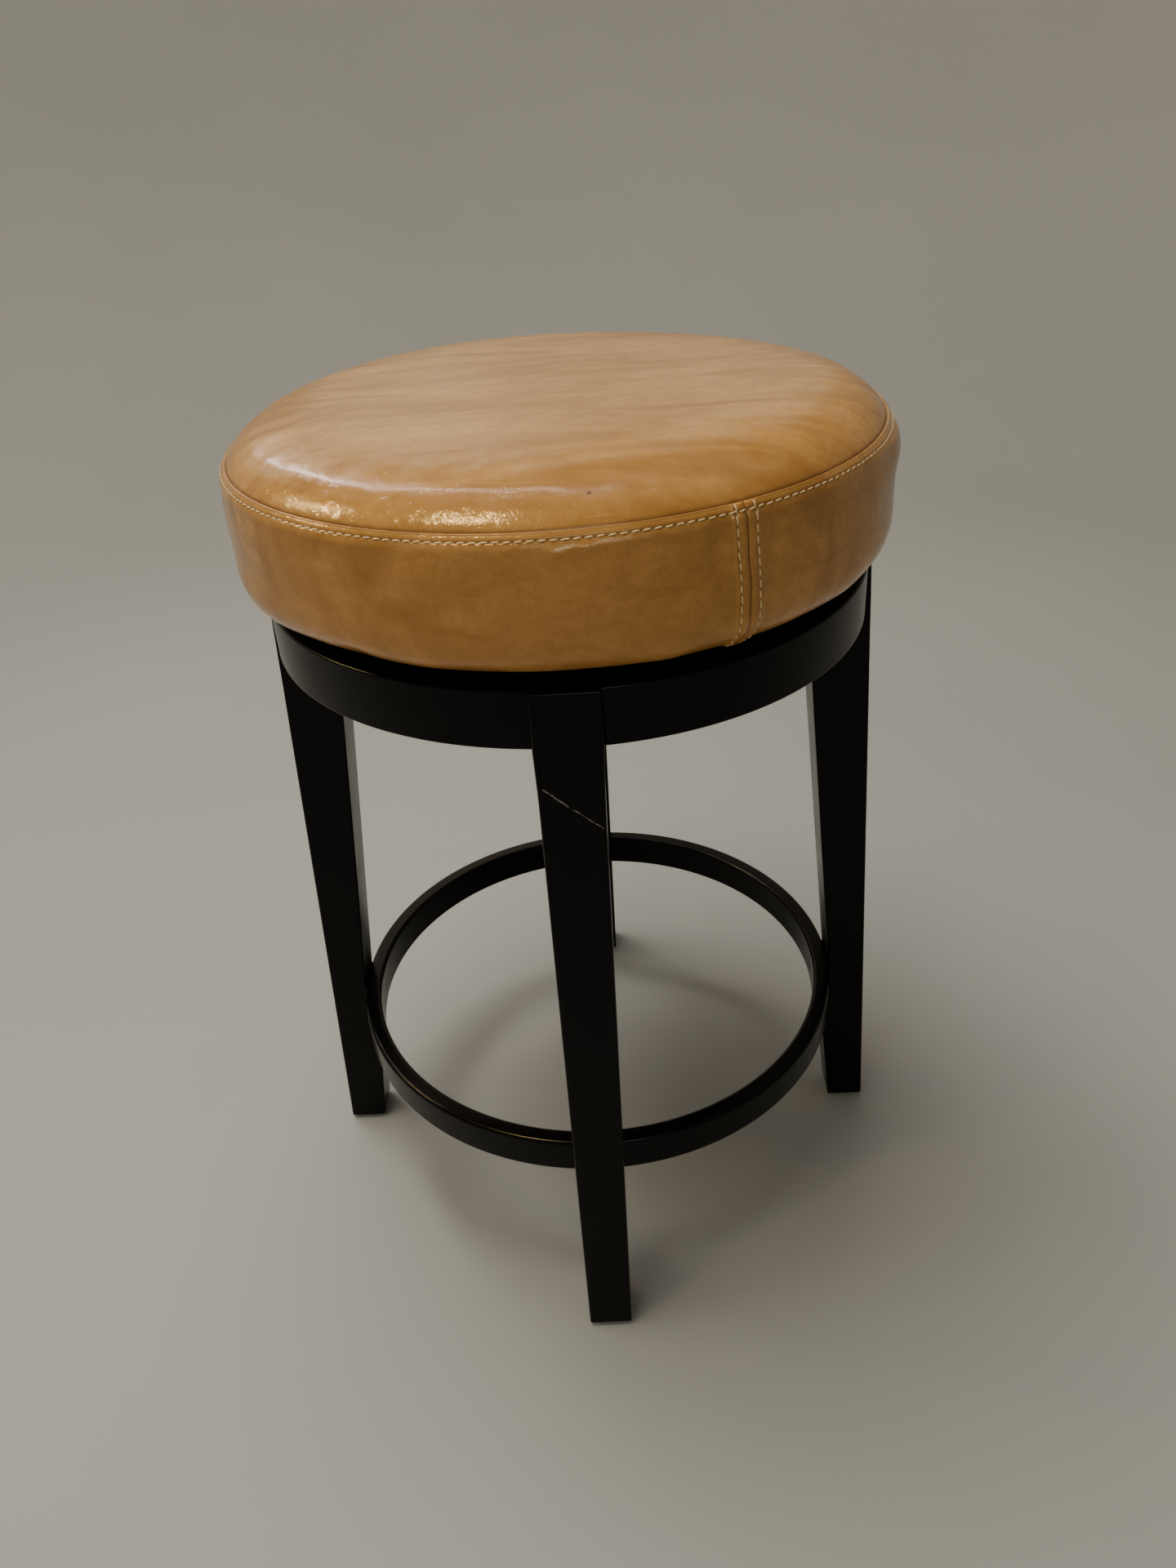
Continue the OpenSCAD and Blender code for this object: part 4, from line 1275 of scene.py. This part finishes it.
def makeCover(read):
    angles = columnAngles()
    path = bandPath()
    total = path[0][-1]
    topTable = bandTable = lambda row, at: 0.0
    if read:
        topRows = np.linspace(5 * mm, seamRadius - 3 * mm, 40)
        bandRows = np.linspace(6 * mm, total - seat["turnIn"], 26)
        inset = pad["inset"]
        topTable = gridReader(read, lambda r, a: polar(r, a, topHeight(r, a) - inset), topRows)
        bandTable = gridReader(read, lambda s, a: bandSurface(s, a, path, 0.0, -inset)[0], bandRows)
    finish = leather()

    rings = [topSurface(radius, angles, topTable(radius, angles)) for radius in ringSpacing()]
    # painted shade where the top panel's edge dives into the seam
    shades = [np.full(len(angles), float(bell(seamRadius - radius, 0.9 * mm)))
              for radius in ringSpacing()]
    centre = float(np.mean(rings[0][:, 2]))
    for inward in seat["underRings"]:
        radius = seamRadius - inward * mm
        under = topSurface(radius, angles, topTable(radius, angles))
        under[..., 2] -= seat["leather"]
        rings.append(under)
    top = skin("seatTopPanel", np.array(rings), (0, 0, centre), (0, 0, centre - seat["leather"]))
    addShade(top, np.concatenate(shades))
    finishPiece(top, "seatTopPanel", "seat", finish, ["seat_cover_top"])

    rings, shades = [], []
    for s in bandSpacing(total):
        ring, shade = bandSurface(s, angles, path, bandTable(s, angles))
        rings.append(ring)
        shades.append(shade)
    inside = [total - 0.2 * mm, total - 8 * mm, total - 20 * mm]
    inside += list(np.arange(total - seat["turnIn"] - 4 * mm, 10 * mm, -8 * mm)) + [4 * mm]
    for s in inside:
        rings.append(bandSurface(s, angles, path, bandTable(s, angles), -seat["leather"])[0])
    band = skin("seatBand", np.array(rings))
    addShade(band, np.concatenate(shades))
    finishPiece(band, "seatBand", "seat", finish, ["seat_cover_band"])
    print("cover made:", len(top.data.polygons), len(band.data.polygons), "faces")
    return top, band, path


# Stitches: short lengths of thread that rise out of one hole and go down the next

stitch = {
    "pitch": 5.85 * mm,
    "visible": 4.8 * mm,
    "thickness": 0.95 * mm,
    "slant": 0.22 * mm,
    "stray": 0.12 * mm,
    "rings": 8,
    "sides": 7,
    "ride": 0.75,     # how far its middle rises and its ends sink, in radii
    "squareness": 0.45,   # 0 for a stitch that lies flat between its ends, 1 for an arch
    "thinEnd": 0.55,
    # what changes from stitch to stitch: lowest and highest
    "topLength": (0.93, 1.05),
    "topSlant": (0.75, 1.25),
    "bandStray": (-0.2, 0.2),    # mm
    "bandLean": (0.1, 0.35),     # mm
    "bandLength": (0.95, 1.06),
}


# Finds the leather's surface under a point of the band, and the way out of it
def surfaceFinder(band, path):
    mesh = bmesh.new()
    mesh.from_mesh(band.data)
    tree = BVHTree.FromBMesh(mesh)
    mesh.free()
    above = 6 * mm

    def find(s, angle):
        r, z, nr, nz = (float(value) for value in alongPath(path, s))
        normal = Vector((nr * math.sin(angle), -nr * math.cos(angle), nz))
        start = Vector((r * math.sin(angle), -r * math.cos(angle), z))
        hit = tree.ray_cast(start + normal * above, -normal, 3 * above)[0]
        return (hit or start), normal

    return find


def stitchRings(ends, find):
    (s0, a0), (s1, a1) = ends
    radius, ride = stitch["thickness"] / 2, stitch["ride"]
    shape = np.linspace(0, 1, stitch["rings"])
    centres, normals = [], []
    for t in shape:
        point, normal = find(s0 + (s1 - s0) * t, a0 + (a1 - a0) * t)
        rise = math.sin(math.pi * t) ** stitch["squareness"] if 0 < t < 1 else 0
        centres.append(point + normal * (radius * ride * (2 * rise - 1)))
        normals.append(normal)
    rings = []
    for i, centre in enumerate(centres):
        ahead = centres[min(i + 1, len(centres) - 1)] - centres[max(i - 1, 0)]
        ahead.normalize()
        side = ahead.cross(normals[i]).normalized()
        up = side.cross(ahead)
        full = math.sin(math.pi * shape[i]) ** 0.5
        thick = radius * (stitch["thinEnd"] + (1 - stitch["thinEnd"]) * full)
        rings.append([centre + side * (math.cos(turn) * thick) + up * (math.sin(turn) * thick)
                      for turn in np.linspace(0, fullTurn, stitch["sides"], endpoint=False)])
    return rings


def sewRow(name, stitches, find, material):
    points, faces, along = [], [], []
    sides, ringCount = stitch["sides"], stitch["rings"]
    for ends in stitches:
        base = len(points)
        last = base + (ringCount - 1) * sides
        for i, ring in enumerate(stitchRings(ends, find)):
            points += [tuple(p) for p in ring]
            along += [(i / (ringCount - 1), k / sides) for k in range(sides)]
        for a in range(base, last, sides):
            b = a + sides
            faces += [(a + k, a + (k + 1) % sides, b + (k + 1) % sides, b + k) for k in range(sides)]
        faces.append(tuple(base + k for k in range(sides - 1, -1, -1)))
        faces.append(tuple(last + k for k in range(sides)))
    piece = meshPiece(name, points, faces)
    layer = piece.data.uv_layers.new(name="along")
    for loop in piece.data.loops:
        layer.data[loop.index].uv = along[loop.vertex_index]
    bpy.ops.object.shade_smooth_by_angle(angle=math.radians(60))
    settle(piece)
    finishPiece(piece, name, "seat", material)


def makeStitches(band, path):
    find = surfaceFinder(band, path)
    material = thread()
    drawn = random.Random(3)
    count = seat["stitchCount"]
    stitches = []
    for k in range(count):
        middle = (k + 0.5) * fullTurn / count - math.pi
        reach = stitch["visible"] / 2 * drawn.uniform(*stitch["topLength"]) / bandRadius
        tilt = stitch["slant"] * drawn.uniform(*stitch["topSlant"])
        at = seat["row"] + drawn.uniform(-stitch["stray"], stitch["stray"])
        stitches.append(((at + tilt, middle - reach), (at - tilt, middle + reach)))
    sewRow("topStitching", stitches, find, material)
    place = math.radians(bandSeam["at"])
    start, past = (distance * mm for distance in bandSeam["thread"])
    end = path[0][-1] - seat["turnIn"] + past
    waver, length, _ = bandSeam["waver"][0]
    for name, side in (("bandStitchingLeft", -1), ("bandStitchingRight", 1)):
        stitches = []
        s = start
        while s + stitch["pitch"] < end:
            across = side * bandSeam["row"] + drawn.uniform(*stitch["bandStray"]) * mm
            across -= waver * mm * math.sin(s / (length * mm))
            lean = drawn.uniform(*stitch["bandLean"]) * mm
            below = s + stitch["visible"] * drawn.uniform(*stitch["bandLength"])
            stitches.append(((s, place + (across - lean) / bandRadius),
                             (below, place + (across + lean) / bandRadius)))
            s += stitch["pitch"]
        sewRow(name, stitches, find, material)
    print("stitches made")


# Parts that keep their shape and get a finish

# A node takes the first finish whose key its name starts with
def dressNodes():
    zinc = steel("brightZinc")
    finishes = {
        "apron_dowels": plainFinish("rawTimber"),
        "cross_rail": blackPaint("blackPaintRails", "X"),
        "swivel_panel": blackPaint("blackPaintPanel", "X"),
        "rail_bracket": steel("bracketSteel"),
        "bracket_screws": zinc,
        "footrest_screws": steel("blackOxide"),
        "glide_nails": zinc,
        "glide_": plainFinish("glidePlastic"),
        "swivel_rail_screws": zinc,
        "swivel_pivot": zinc,
        "swivel_balls": steel("ballSteel"),
        "swivel_seat_bolts": zinc,
        "seat_tee_nuts": zinc,
        "swivel_": steel("swivelSteel"),
        "seat_board": plainFinish("plywood", layered=True),
        "dust_cover": dustCloth(),
        "cover_staples": zinc,
    }
    for name, obj in frame["nodes"].items():
        material = next((finishes[start] for start in finishes if name.startswith(start)), None)
        if material:
            if not obj.material_slots:
                obj.data.materials.append(material)
            for slot in obj.material_slots:
                slot.material = material
    print("finishes set")


makeCamera()
makeFloor()
makeLights()
dressNodes()
makeLegs()
makeApron()
makeFootrest()
padPiece = makePad()
reader = None
padBefore, padMove = swellPad(padPiece)
reader = swellReader(padBefore, evenOut(padPiece, padBefore, padMove))
topPiece, bandPiece, bandLine = makeCover(reader)
makeFoam(padPiece)
makeStitches(bandPiece, bandLine)
settle(topPiece)
settle(bandPiece)
choose(None)
